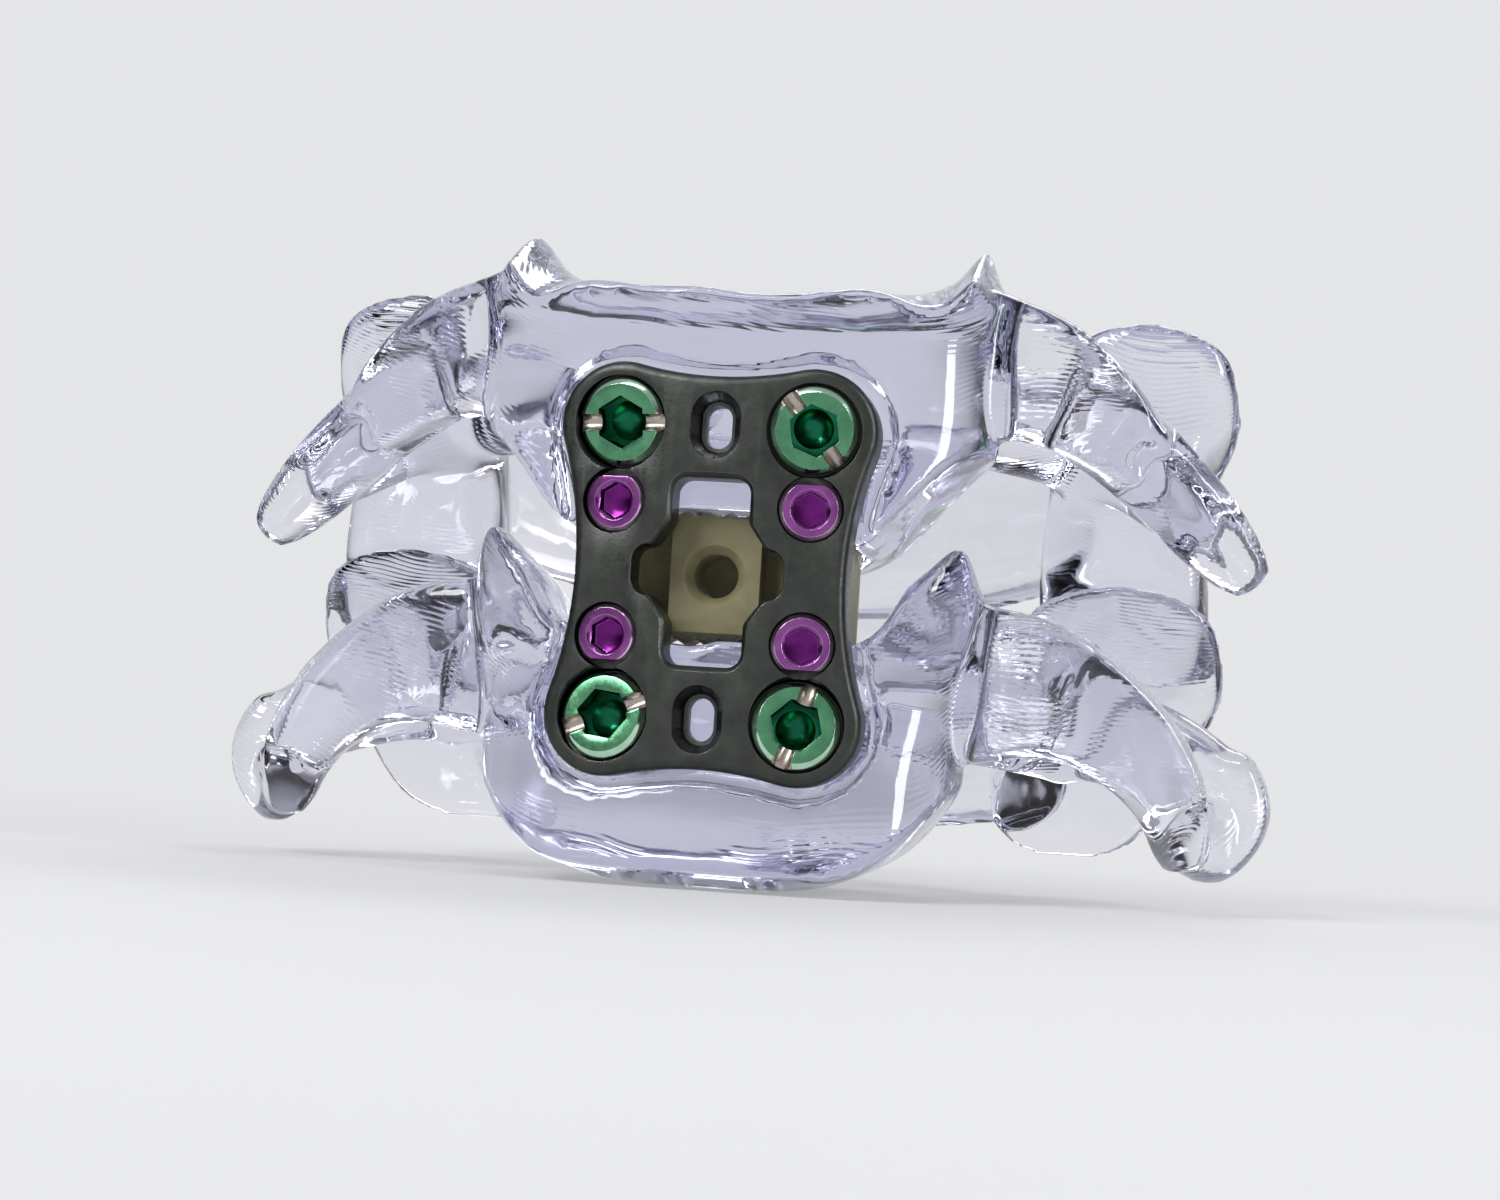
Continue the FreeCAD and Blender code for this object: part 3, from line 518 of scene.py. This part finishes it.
workedNames = ["front_plate", "interbody_cage"] + ["bone_screw_" + corner for corner in corners]
workedTree = treeOf(workedNames)
for cadName, pieceName in (("upper_vertebra", "upperCast"), ("lower_vertebra", "lowerCast")):
    castMesh = smoothedCast(nodes[cadName], workedTree, bladeLook[pieceName])
    cast = addPiece(pieceName, castMesh, [cadName])
    takeMaterial(cast, resin)
    print("stage:", pieceName, len(castMesh.polygons), "faces")


# Screws: one tree of geometry nodes turns a half profile, winds the thread and cuts the sockets

screwSockets = {
    "Profile": "NodeSocketGeometry",
    "Steps Around": "NodeSocketInt",
    "Thread Pitch": "NodeSocketFloat",
    "Thread Depth": "NodeSocketFloat",
    "Hexagon Across Flats": "NodeSocketFloat",
    "Hexagon Depth": "NodeSocketFloat",
    "Drill Radius": "NodeSocketFloat",
    "Drill Depth": "NodeSocketFloat",
    "Flared": "NodeSocketBool",
    "Mouth Flare": "NodeSocketFloat",
    "Mouth Depth": "NodeSocketFloat",
    "Head Radius": "NodeSocketFloat",
    "Head Depth": "NodeSocketFloat",
    "Rim Chamfer": "NodeSocketFloat",
    "Slotted": "NodeSocketBool",
    "Slot Width": "NodeSocketFloat",
    "Slot Depth": "NodeSocketFloat",
    "Flattened": "NodeSocketBool",
    "Flat Distance": "NodeSocketFloat",
    "Finish": "NodeSocketMaterial",
    "Cut Finish": "NodeSocketMaterial",
    "Painted Rim Highlight": "NodeSocketMaterial",
    "Painted Socket Shade": "NodeSocketMaterial",
}


# A cutter of the tree, moved along the screw's axis to lie between two depths.
def cutterBetween(tree, kind, low, high, across=0.0, turn=0.0, **sizes):
    shape = addNode(tree, kind, None, **sizes)
    if "Depth" in shape.inputs:
        tree.links.new(mathOf(tree, "SUBTRACT", high, low), shape.inputs["Depth"])
    middle = mathOf(tree, "MULTIPLY", mathOf(tree, "ADD", high, low), 0.5)
    if kind == "GeometryNodeMeshCone":
        middle = low
    place = addNode(tree, "ShaderNodeCombineXYZ", Y=across, Z=middle)
    moved = addNode(
        tree, "GeometryNodeTransform",
        Geometry=shape.outputs["Mesh"], Translation=place.outputs[0], Rotation=(0, 0, turn),
    )
    return moved.outputs[0]


screwCutLook = {
    "above": -2 * mm,
    "slack": 0.01 * mm,
    "crestTo": 0.14,
    "rootFrom": 0.62,
    "weld": 0.0005 * mm,
    "drillOverlap": 0.1 * mm,
    "mouthInset": 0.05 * mm,
    "reach": 2.6,
    "cornerAbove": 0.5,
    "innermost": 1.005,
}


def screwTree():
    look = screwCutLook
    above, slack = look["above"], look["slack"]
    tree = bpy.data.node_groups.new("screwForm", "GeometryNodeTree")
    tree.interface.new_socket("Screw", in_out="OUTPUT", socket_type="NodeSocketGeometry")
    for name, kind in screwSockets.items():
        tree.interface.new_socket(name, in_out="INPUT", socket_type=kind)
    given = tree.nodes.new("NodeGroupInput").outputs
    maths = partial(mathOf, tree)
    plus, minus, times, divided, lessThan, moreThan = (
        partial(mathOf, tree, operation)
        for operation in ("ADD", "SUBTRACT", "MULTIPLY", "DIVIDE", "LESS_THAN", "GREATER_THAN")
    )

    # A grid with one row for each point of the profile, wrapped round the axis
    rows = addNode(tree, "GeometryNodeAttributeDomainSize", {"component": "MESH"}, Geometry=given["Profile"])
    perRow = plus(given["Steps Around"], 1)
    grid = addNode(tree, "GeometryNodeMeshGrid")
    tree.links.new(rows.outputs["Point Count"], grid.inputs["Vertices X"])
    tree.links.new(perRow, grid.inputs["Vertices Y"])
    index = addNode(tree, "GeometryNodeInputIndex").outputs[0]
    row = maths("FLOOR", divided(plus(index, 0.5), perRow))
    turnShare = divided(minus(index, times(row, perRow)), given["Steps Around"])
    angle = times(turnShare, math.tau)
    position = addNode(tree, "GeometryNodeInputPosition").outputs[0]
    drawn = addNode(
        tree, "GeometryNodeSampleIndex", {"data_type": "FLOAT_VECTOR", "domain": "POINT"},
        Geometry=given["Profile"], Value=position, Index=row,
    )
    drawn = addNode(tree, "ShaderNodeSeparateXYZ", Vector=drawn.outputs[0])
    share = addNode(tree, "GeometryNodeInputNamedAttribute", {"data_type": "FLOAT"}, Name="thread").outputs[0]
    share = addNode(
        tree, "GeometryNodeSampleIndex", {"data_type": "FLOAT", "domain": "POINT"},
        Geometry=given["Profile"], Value=share, Index=row,
    )

    # The thread: narrow crests and wide roots that climb one pitch a turn
    climb = minus(divided(drawn.outputs["Z"], given["Thread Pitch"]), turnShare)
    fromRoot = minus(times(maths("FRACT", climb), 2.0), 1.0)
    groove = rangeOf(tree, maths("ABSOLUTE", fromRoot), 0.0, 1.0, look["crestTo"], look["rootFrom"])
    cut = times(times(groove, share.outputs[0]), given["Thread Depth"])
    radius = minus(drawn.outputs["X"], cut)
    wrapped = addNode(
        tree, "ShaderNodeCombineXYZ",
        X=times(radius, maths("COSINE", angle)), Y=times(radius, maths("SINE", angle)), Z=drawn.outputs["Z"],
    )
    body = addNode(
        tree, "GeometryNodeSetPosition", Geometry=grid.outputs["Mesh"], Position=wrapped.outputs[0],
    )
    body = addNode(tree, "GeometryNodeMergeByDistance", Geometry=body.outputs[0], Distance=look["weld"])

    # Sockets, slot and flat
    hexRadius = divided(given["Hexagon Across Flats"], math.sqrt(3))
    hexagon = cutterBetween(
        tree, "GeometryNodeMeshCylinder", above, given["Hexagon Depth"], turn=math.pi / 6,
        Vertices=6, Radius=hexRadius,
    )
    drill = cutterBetween(
        tree, "GeometryNodeMeshCone", plus(given["Hexagon Depth"], -look["drillOverlap"]), given["Drill Depth"],
        **{"Vertices": 48, "Radius Bottom": given["Drill Radius"], "Radius Top": 0.0},
    )
    mouthRadius = times(given["Hexagon Across Flats"], 0.5)
    wide = plus(mouthRadius, given["Mouth Flare"])
    narrow = minus(mouthRadius, look["mouthInset"])
    mouth = cutterBetween(
        tree, "GeometryNodeMeshCone", -slack, given["Mouth Depth"],
        **{"Vertices": 64, "Radius Bottom": wide, "Radius Top": narrow},
    )
    reach = times(given["Head Radius"], look["reach"])
    slotRadius = times(given["Slot Width"], 0.5)
    slot = addNode(tree, "GeometryNodeMeshCylinder", Vertices=32, Radius=slotRadius, Depth=reach)
    slotPlace = addNode(tree, "ShaderNodeCombineXYZ", Z=minus(given["Slot Depth"], slotRadius))
    slot = addNode(
        tree, "GeometryNodeTransform",
        Geometry=slot.outputs["Mesh"], Translation=slotPlace.outputs[0], Rotation=(0, math.pi / 2, 0),
    ).outputs[0]
    flatSize = addNode(tree, "ShaderNodeCombineXYZ", X=reach, Y=reach, Z=minus(given["Head Depth"], above))
    flat = cutterBetween(
        tree, "GeometryNodeMeshCube", above, given["Head Depth"],
        across=plus(given["Flat Distance"], times(reach, 0.5)), Size=flatSize.outputs[0],
    )
    carved = addNode(tree, "GeometryNodeMeshBoolean", {"operation": "DIFFERENCE", "solver": "EXACT"})
    tree.links.new(body.outputs[0], carved.inputs["Mesh 1"])
    cutters = ((hexagon, None), (drill, None), (mouth, "Flared"), (slot, "Slotted"), (flat, "Flattened"))
    for cutter, wanted in cutters:
        if wanted:
            choice = addNode(tree, "GeometryNodeSwitch", {"input_type": "GEOMETRY"}, Switch=given[wanted])
            tree.links.new(cutter, choice.inputs["True"])
            cutter = choice.outputs[0]
        tree.links.new(cutter, carved.inputs["Mesh 2"])

    # Corners of the head, which are eased later
    place = addNode(tree, "ShaderNodeSeparateXYZ", Vector=position)
    across, down = place.outputs["Y"], place.outputs["Z"]
    bend = addNode(tree, "GeometryNodeInputMeshEdgeAngle").outputs["Unsigned Angle"]
    onHead = lessThan(down, plus(given["Head Depth"], slack))
    eased = addNode(
        tree, "GeometryNodeStoreNamedAttribute", {"data_type": "FLOAT", "domain": "EDGE"},
        Geometry=carved.outputs["Mesh"], Name="bevel_weight_edge",
        Value=times(moreThan(bend, look["cornerAbove"]), onHead),
    )
    whole = addNode(tree, "GeometryNodeRealizeInstances", Geometry=eased.outputs[0])

    # Materials: bare faces in the slot, a pale painted highlight on the rim and a dark painted shade in the
    # socket
    halfSlot = plus(times(given["Slot Width"], 0.5), slack)
    bare = given["Slotted"]
    for test in (
        lessThan(maths("ABSOLUTE", across), halfSlot),
        moreThan(down, 2 * slack),
        lessThan(down, plus(given["Slot Depth"], slack)),
        moreThan(maths("ABSOLUTE", place.outputs["X"]), plus(mouthRadius, 2 * slack)),
    ):
        bare = times(bare, test)
    notBare = minus(1.0, bare)
    apart = maths("SQRT", plus(maths("POWER", place.outputs["X"], 2.0), maths("POWER", across, 2.0)))
    onRim = moreThan(apart, minus(given["Head Radius"], given["Rim Chamfer"]))
    # Pale painted highlight on the rim's chamfer
    bright = times(times(onRim, lessThan(down, given["Rim Chamfer"])), notBare)
    inSocket = times(moreThan(down, given["Mouth Depth"]), lessThan(apart, times(hexRadius, look["innermost"])))
    # Painted shade: the socket's faces take a darker colour
    socketShade = times(times(inSocket, lessThan(down, plus(given["Drill Depth"], slack))), notBare)
    painted = addNode(tree, "GeometryNodeSetMaterial", Geometry=whole.outputs[0], Material=given["Finish"])
    for chosen, finish in ((bare, "Cut Finish"), (bright, "Painted Rim Highlight"), (socketShade, "Painted Socket Shade")):
        painted = addNode(
            tree, "GeometryNodeSetMaterial",
            Geometry=painted.outputs[0], Selection=chosen, Material=given[finish],
        )
    out = tree.nodes.new("NodeGroupOutput")
    tree.links.new(painted.outputs[0], out.inputs[0])
    return tree


# Half outlines in millimetres, with depths from the head's face. The last four of the bone
# screw's are from the end of the ball under its head.
boneForm = {
    "headRadius": 2.35,
    "headEdge": 0.3,
    "headWall": 1.1,
    "ballEnd": 1.85,
    "neckRadius": 1.5,
    "threadRadius": 2.0,
    "tipRadius": 0.3,
    "coreRadius": 0.2,
    "runIn": 0.5,
    "step": 0.1,
    "neckFrom": 0.2,
    "threadFrom": 0.6,
    "tipFrom": 11.1,
    "end": 12.9,
}

lockForm = {
    "headRadius": 1.68,
    "headEdge": 0.22,
    "headWall": 0.95,
    "shankRadius": 1.15,
    "threadFrom": 1.0,
    "threadTo": 1.9,
    "step": 0.05,
    "end": 2.1,
    "endRadius": 0.95,
}

boneScrewLook = {
    "Steps Around": 72,
    "Thread Pitch": 1.25 * mm,
    "Thread Depth": 0.45 * mm,
    "Hexagon Across Flats": 2.5 * mm,
    "Hexagon Depth": 1.5 * mm,
    "Drill Radius": 1.18 * mm,
    "Drill Depth": 2.6 * mm,
    "Flared": False,
    "Mouth Flare": 0.06 * mm,
    "Mouth Depth": 0.02 * mm,
    "Head Radius": boneForm["headRadius"] * mm,
    "Head Depth": boneForm["headWall"] * mm,
    "Rim Chamfer": 0.28 * mm,
    "Slotted": True,
    "Slot Width": 0.9 * mm,
    "Slot Depth": 0.55 * mm,
    "Flattened": False,
    "Flat Distance": 2.0 * mm,
    "Finish": metals["greenTitanium"],
    "Cut Finish": metals["bareTitanium"],
    # Pale painted highlight on the rim and the eased corners
    "Painted Rim Highlight": metals["greenTitaniumRimHighlight"],
    # Dark painted shade inside the socket
    "Painted Socket Shade": metals["greenTitaniumSocketShade"],
}

lockScrewLook = {
    "Steps Around": 72,
    "Thread Pitch": 0.5 * mm,
    "Thread Depth": 0.12 * mm,
    "Hexagon Across Flats": 1.7 * mm,
    "Hexagon Depth": 0.85 * mm,
    "Drill Radius": 0.8 * mm,
    "Drill Depth": 1.15 * mm,
    "Flared": True,
    "Mouth Flare": 0.25 * mm,
    "Mouth Depth": 0.25 * mm,
    "Head Radius": lockForm["headRadius"] * mm,
    "Head Depth": lockForm["headWall"] * mm,
    "Rim Chamfer": 0.2 * mm,
    "Slotted": False,
    "Slot Width": 0.5 * mm,
    "Slot Depth": 0.3 * mm,
    "Flattened": True,
    "Flat Distance": 1.28 * mm,
    "Finish": metals["purpleTitanium"],
    "Cut Finish": metals["purpleTitanium"],
    # Pale painted highlight on the rim and the eased corners
    "Painted Rim Highlight": metals["purpleTitaniumRimHighlight"],
    # Dark painted shade inside the socket
    "Painted Socket Shade": metals["purpleTitaniumSocketShade"],
}

# Places in millimetres from the plate's middle, and turns in degrees
screwFit = {
    "plateRadius": 34.0,
    "boneAcross": 5.25,
    "boneUp": 7.75,
    "boneSplay": 10.0,
    "boneSink": 0.2,
    "lockAcross": 5.3,
    "lockUp": 3.6,
    "lockSink": 0.08,
    "slotAngles": {"upper_left": 3.0, "upper_right": -52.0, "lower_left": 22.0, "lower_right": 74.0},
    "ease": 0.08 * mm,
}


# The outlines' rows: depth, radius and share of the thread.
def boneProfile():
    form = boneForm
    head, wall, step = form["headRadius"], form["headWall"], form["step"]
    neck, thread, edge = form["neckRadius"], form["threadRadius"], form["headEdge"]
    rows = [(0.0, radius, 0) for radius in np.linspace(0, head - edge, 6)]
    rows += [(edge, head, 0), (wall, head, 0)]
    ball = np.linspace(0, math.acos(form["ballEnd"] / head), 9)[1:]
    rows += [(wall + head * math.sin(turn), head * math.cos(turn), 0) for turn in ball]
    depth = rows[-1][0]
    start, finish, tip = (depth + form[key] for key in ("threadFrom", "tipFrom", "end"))
    rows += [(depth + form["neckFrom"], neck, 0), (start, neck, 0)]
    for at in np.arange(start + step, tip - step, step):
        radius = min(neck + (at - start), thread)
        if at > finish:
            radius = thread - (thread - form["tipRadius"]) * (at - finish) / (tip - step - finish)
        grown = (radius - form["coreRadius"]) / (thread - form["coreRadius"])
        rows.append((at, radius, min((at - start) / form["runIn"], 1.0) * min(max(grown, 0.0), 1.0)))
    rows.append((tip, 0.0, 0))
    return rows


def lockProfile():
    form = lockForm
    head, wall, edge, shank = (form[key] for key in ("headRadius", "headWall", "headEdge", "shankRadius"))
    rows = [(0.0, radius, 0) for radius in np.linspace(0, head - edge, 5)]
    rows += [(edge, head, 0), (wall, head, 0), (wall, shank, 0)]
    rows += [(at, shank, 1.0) for at in np.arange(form["threadFrom"], form["threadTo"], form["step"])]
    rows += [(form["end"], form["endRadius"], 0), (form["end"], 0.0, 0)]
    return rows


def profileObject(name, rows):
    mesh = bpy.data.meshes.new(name)
    points = [(radius * mm, 0, depth * mm) for depth, radius, share in rows]
    mesh.from_pydata(points, [(i, i + 1) for i in range(len(rows) - 1)], [])
    share = mesh.attributes.new("thread", "FLOAT", "POINT")
    share.data.foreach_set("value", [row[2] for row in rows])
    result = bpy.data.objects.new(name, mesh)
    bpy.context.scene.collection.objects.link(result)
    return result


# Place and turn of a screw's head face, from where it stands on the curved plate.
def screwPlace(across, up, splay, sink, spin):
    radius = screwFit["plateRadius"]
    lean = math.asin(across / radius)
    tilt = math.radians(splay)
    inward = Vector((-math.sin(lean) * math.cos(tilt), math.cos(lean) * math.cos(tilt), math.sin(tilt)))
    front = radius - plateThickness / mm - math.sqrt(radius ** 2 - across ** 2)
    origin = plateCentre + (Vector((across, front, up)) + inward * sink) * mm
    x = (Vector((1, 0, 0)) - inward * inward.x).normalized()
    y = inward.cross(x)
    turn = Matrix((x, y, inward)).transposed().to_4x4()
    return Matrix.Translation(origin) @ turn @ Matrix.Rotation(math.radians(spin), 4, "Z")


# One screw as a plain mesh in its place, with its corners eased.
def screwMesh(name, tree, look, rows, place):
    blank = profileObject(name, rows)
    form = blank.modifiers.new("form", "NODES")
    form.node_group = tree
    for item in tree.interface.items_tree:
        if item.in_out == "INPUT" and item.name in look:
            form[item.identifier] = look[item.name]
    mesh = plainMesh(blank, name)
    bpy.data.objects.remove(blank)
    mesh.transform(place)
    shaded = bmesh.new()
    shaded.from_mesh(mesh)
    bmesh.ops.recalc_face_normals(shaded, faces=shaded.faces)
    shaded.to_mesh(mesh)
    shaded.free()
    usedSlots(mesh)
    # The eased corners take the pale painted highlight too
    mesh.materials.append(look["Painted Rim Highlight"])
    return easedMesh(mesh, screwFit["ease"])


screwForm = screwTree()
for corner, (side, level) in corners.items():
    fit = screwFit
    ending = "".join(word.capitalize() for word in corner.split("_"))
    bonePlace = screwPlace(
        side * fit["boneAcross"], level * fit["boneUp"], level * fit["boneSplay"], fit["boneSink"],
        -fit["slotAngles"][corner],
    )
    lockPlace = screwPlace(
        side * fit["lockAcross"], level * fit["lockUp"], 0, fit["lockSink"], 180 if level > 0 else 0,
    )
    for kind, look, rows, place in (
        ("bone", boneScrewLook, boneProfile(), bonePlace),
        ("lock", lockScrewLook, lockProfile(), lockPlace),
    ):
        mesh = screwMesh(kind + "Screw" + ending, screwForm, look, rows, place)
        addPiece(kind + "Screw" + ending, mesh, [kind + "_screw_" + corner])
        print("stage:", kind + "Screw" + ending, len(mesh.polygons), "faces")


# Plate and cage: the CAD form with its corners eased, so that they catch the light. The plate's eased corners
# also carry a pale painted highlight

mergeLook = {
    "weld": 0.0008 * mm,
    "flatWithin": 0.4,
}


# A copy of a CAD node with its triangles joined into whole faces.
def mergedCopy(source, name, finishes):
    look = mergeLook
    mesh = source.data.copy()
    mesh.name = name
    form = bmesh.new()
    form.from_mesh(mesh)
    bmesh.ops.remove_doubles(form, verts=form.verts, dist=look["weld"])
    bmesh.ops.dissolve_limit(
        form, angle_limit=math.radians(look["flatWithin"]), verts=form.verts, edges=form.edges,
        use_dissolve_boundaries=False,
    )
    form.to_mesh(mesh)
    form.free()
    mesh.materials.clear()
    for finish in finishes:
        mesh.materials.append(finish)
    return mesh


frontPlateLook = {
    "cadName": "front_plate",
    # The second, pale colour is a painted highlight on the plate's eased edges
    "finishes": (metals["darkTitanium"], metals["darkTitaniumEdgeHighlight"]),
    "ease": 0.11 * mm,
    "sharpAbove": 35,
}

interbodyCageLook = {
    "cadName": "interbody_cage",
    "finishes": (polymer,),
    "ease": 0.06 * mm,
    "sharpAbove": 35,
}

for pieceName, look in (("frontPlate", frontPlateLook), ("interbodyCage", interbodyCageLook)):
    merged = mergedCopy(nodes[look["cadName"]], pieceName, look["finishes"])
    mesh = easedMesh(merged, look["ease"], look["sharpAbove"])
    addPiece(pieceName, mesh, [look["cadName"]])
    print("stage:", pieceName, len(mesh.polygons), "faces")

for name, node in nodes.items():
    if name.startswith("cage_marker"):
        takeMaterial(node, metals["markerMetal"])
print("stage: carried pieces finished")


# Floor, backdrop and light

stageLook = {
    "halfWidth": 0.5,
    "front": 0.5,
    "back": 0.26,
    "bend": 0.12,
    "bendLines": 17,
    "height": 0.42,
    "lessBehind": 0.35,
    "behind": (-0.02, 0.1),
    "before": (-0.2, -0.06),
    "paleWithin": 0.13,
    "darkBeyond": 0.42,
    "darkest": 0.25,
    "floor": (0.66, 0.66, 0.67),
    "roughness": 0.7,
    "backdrop": (0.78, 0.785, 0.8),
}


# A floor that bends up into a backdrop at both ends. Away from the object, what is seen of it
# is a plain tone of its own: pale to the camera, and darker to the sides in gloss and resin.
def sweep():
    look = stageLook
    bend = look["bend"]
    turns = np.linspace(0, math.pi / 2, look["bendLines"])
    rise = [(bend * math.sin(turn), bend * (1 - math.cos(turn))) for turn in turns]
    line = [(-look["front"], look["height"])]
    line += [(bend - look["front"] - away, up) for away, up in reversed(rise)]
    line += [(look["back"] - bend + away, up) for away, up in rise]
    line.append((look["back"], look["height"]))
    half = look["halfWidth"]
    points = [(side * half, y, z) for y, z in line for side in (-1, 1)]
    faces = [(2 * i, 2 * i + 1, 2 * i + 3, 2 * i + 2) for i in range(len(line) - 1)]
    mesh = bpy.data.meshes.new("sweep")
    mesh.from_pydata(points, [], faces)
    mesh.shade_smooth()
    result = bpy.data.objects.new("sweep", mesh)
    bpy.context.scene.collection.objects.link(result)
    material, tree, shader = newMaterial("sweepPaint")
    shader.inputs["Base Color"].default_value = (*look["floor"], 1)
    shader.inputs["Roughness"].default_value = look["roughness"]
    paths = addNode(tree, "ShaderNodeLightPath").outputs
    seen = mathOf(tree, "MAXIMUM", paths["Is Camera Ray"], paths["Is Glossy Ray"])
    seen = mathOf(tree, "MAXIMUM", seen, paths["Is Transmission Ray"])
    coords = addNode(tree, "ShaderNodeTexCoord")
    split = addNode(tree, "ShaderNodeSeparateXYZ", Vector=coords.outputs["Object"])
    behind = rangeOf(tree, split.outputs["Y"], look["lessBehind"], 1.0, *look["behind"])
    before = rangeOf(tree, split.outputs["Y"], 1.0, 0.0, *look["before"])
    aside = mathOf(tree, "ABSOLUTE", split.outputs["X"])
    beside = rangeOf(tree, aside, 0.0, 1.0, look["paleWithin"], look["darkBeyond"])
    far = mathOf(tree, "MAXIMUM", mathOf(tree, "MAXIMUM", behind, before), beside)
    share = mathOf(tree, "MULTIPLY", seen, far)
    level = rangeOf(tree, beside, 1.0, look["darkest"], 0.0, 1.0)
    level = mathOf(tree, "MAXIMUM", level, paths["Is Camera Ray"])
    glow = addNode(tree, "ShaderNodeEmission", Color=(*look["backdrop"], 1), Strength=level)
    mix = addNode(tree, "ShaderNodeMixShader", i0=share)
    tree.links.new(shader.outputs[0], mix.inputs[1])
    tree.links.new(glow.outputs[0], mix.inputs[2])
    tree.links.new(mix.outputs[0], tree.nodes["Material Output"].inputs["Surface"])
    result.data.materials.append(material)


def softbox(name, place, target, width, height, power):
    data = bpy.data.lights.new(name, "AREA")
    data.shape = "RECTANGLE"
    data.size = width
    data.size_y = height
    data.energy = power
    lamp = bpy.data.objects.new(name, data)
    lamp.location = place
    lamp.rotation_euler = (Vector(target) - Vector(place)).to_track_quat("-Z", "Y").to_euler()
    bpy.context.scene.collection.objects.link(lamp)


roomLook = {
    "tint": (0.9, 0.92, 1.0),
    "dim": 0.04,
    "bright": 0.42,
    "brightens": (0.2, 0.6),
}


# A dim room, brighter overhead, so that clear edges have something dark to bend in. The
# camera itself sees the backdrop's tone there.
def room():
    look = roomLook
    settings = bpy.data.worlds.new("room")
    bpy.context.scene.world = settings
    settings.use_nodes = True
    tree = settings.node_tree
    background = tree.nodes["Background"]
    coords = addNode(tree, "ShaderNodeTexCoord")
    split = addNode(tree, "ShaderNodeSeparateXYZ", Vector=coords.outputs["Generated"])
    strength = rangeOf(tree, split.outputs["Z"], look["dim"], look["bright"], *look["brightens"])
    tree.links.new(strength, background.inputs["Strength"])
    background.inputs["Color"].default_value = (*look["tint"], 1)
    pale = addNode(tree, "ShaderNodeBackground", Color=(*stageLook["backdrop"], 1), Strength=1.0)
    paths = addNode(tree, "ShaderNodeLightPath")
    mix = addNode(tree, "ShaderNodeMixShader", i0=paths.outputs["Is Camera Ray"])
    tree.links.new(background.outputs[0], mix.inputs[1])
    tree.links.new(pale.outputs[0], mix.inputs[2])
    tree.links.new(mix.outputs[0], tree.nodes["World Output"].inputs["Surface"])


# Each lamp's place, width, height and power
lampLooks = {
    "keyLight": ((-0.16, -0.24, 0.22), 0.16, 0.1, 0.75),
    "sideLight": ((0.3, -0.14, 0.12), 0.05, 0.24, 0.5),
    "rimLight": ((0.06, 0.2, 0.26), 0.26, 0.08, 0.35),
    "stripLight": ((-0.02, -0.16, 0.3), 0.22, 0.014, 0.16),
}
lampAim = plateCentre + Vector((0, 12 * mm, 0))

sweep()
room()
for name, (place, width, height, power) in lampLooks.items():
    softbox(name, place, lampAim, width, height, power)


# Camera, matched to the photograph

cameraFit = {
    "azimuth": 8.92,
    "elevation": -3.0,
    "roll": 3.59,
    "distance": 160.78 * mm,
    "focalPixels": 3010.0,
    "imageWidth": 1500.0,
    "sensorWidth": 36,
    "nearest": 0.01,
    "farthest": 10,
    "target": Vector((2.07, 0.0, -1.24)) * mm,
}


def photoCamera():
    fit = cameraFit
    azimuth, elevation, roll = (math.radians(fit[key]) for key in ("azimuth", "elevation", "roll"))
    back = Vector((
        math.sin(azimuth) * math.cos(elevation), -math.cos(azimuth) * math.cos(elevation), math.sin(elevation),
    ))
    level = Vector((math.cos(azimuth), math.sin(azimuth), 0))
    upright = back.cross(level)
    right = level * math.cos(roll) + upright * math.sin(roll)
    up = upright * math.cos(roll) - level * math.sin(roll)
    place = plateCentre + fit["target"] + back * fit["distance"]
    data = bpy.data.cameras.new("photoCamera")
    data.sensor_width = fit["sensorWidth"]
    data.lens = fit["focalPixels"] / fit["imageWidth"] * data.sensor_width
    data.clip_start = fit["nearest"]
    data.clip_end = fit["farthest"]
    camera = bpy.data.objects.new("photoCamera", data)
    rotation = Matrix((right, up, back)).transposed()
    camera.matrix_world = Matrix.Translation(place) @ rotation.to_4x4()
    bpy.context.scene.collection.objects.link(camera)
    bpy.context.scene.camera = camera


photoCamera()
bpy.context.scene.view_settings.view_transform = "Standard"
print("stage: camera and lights set")
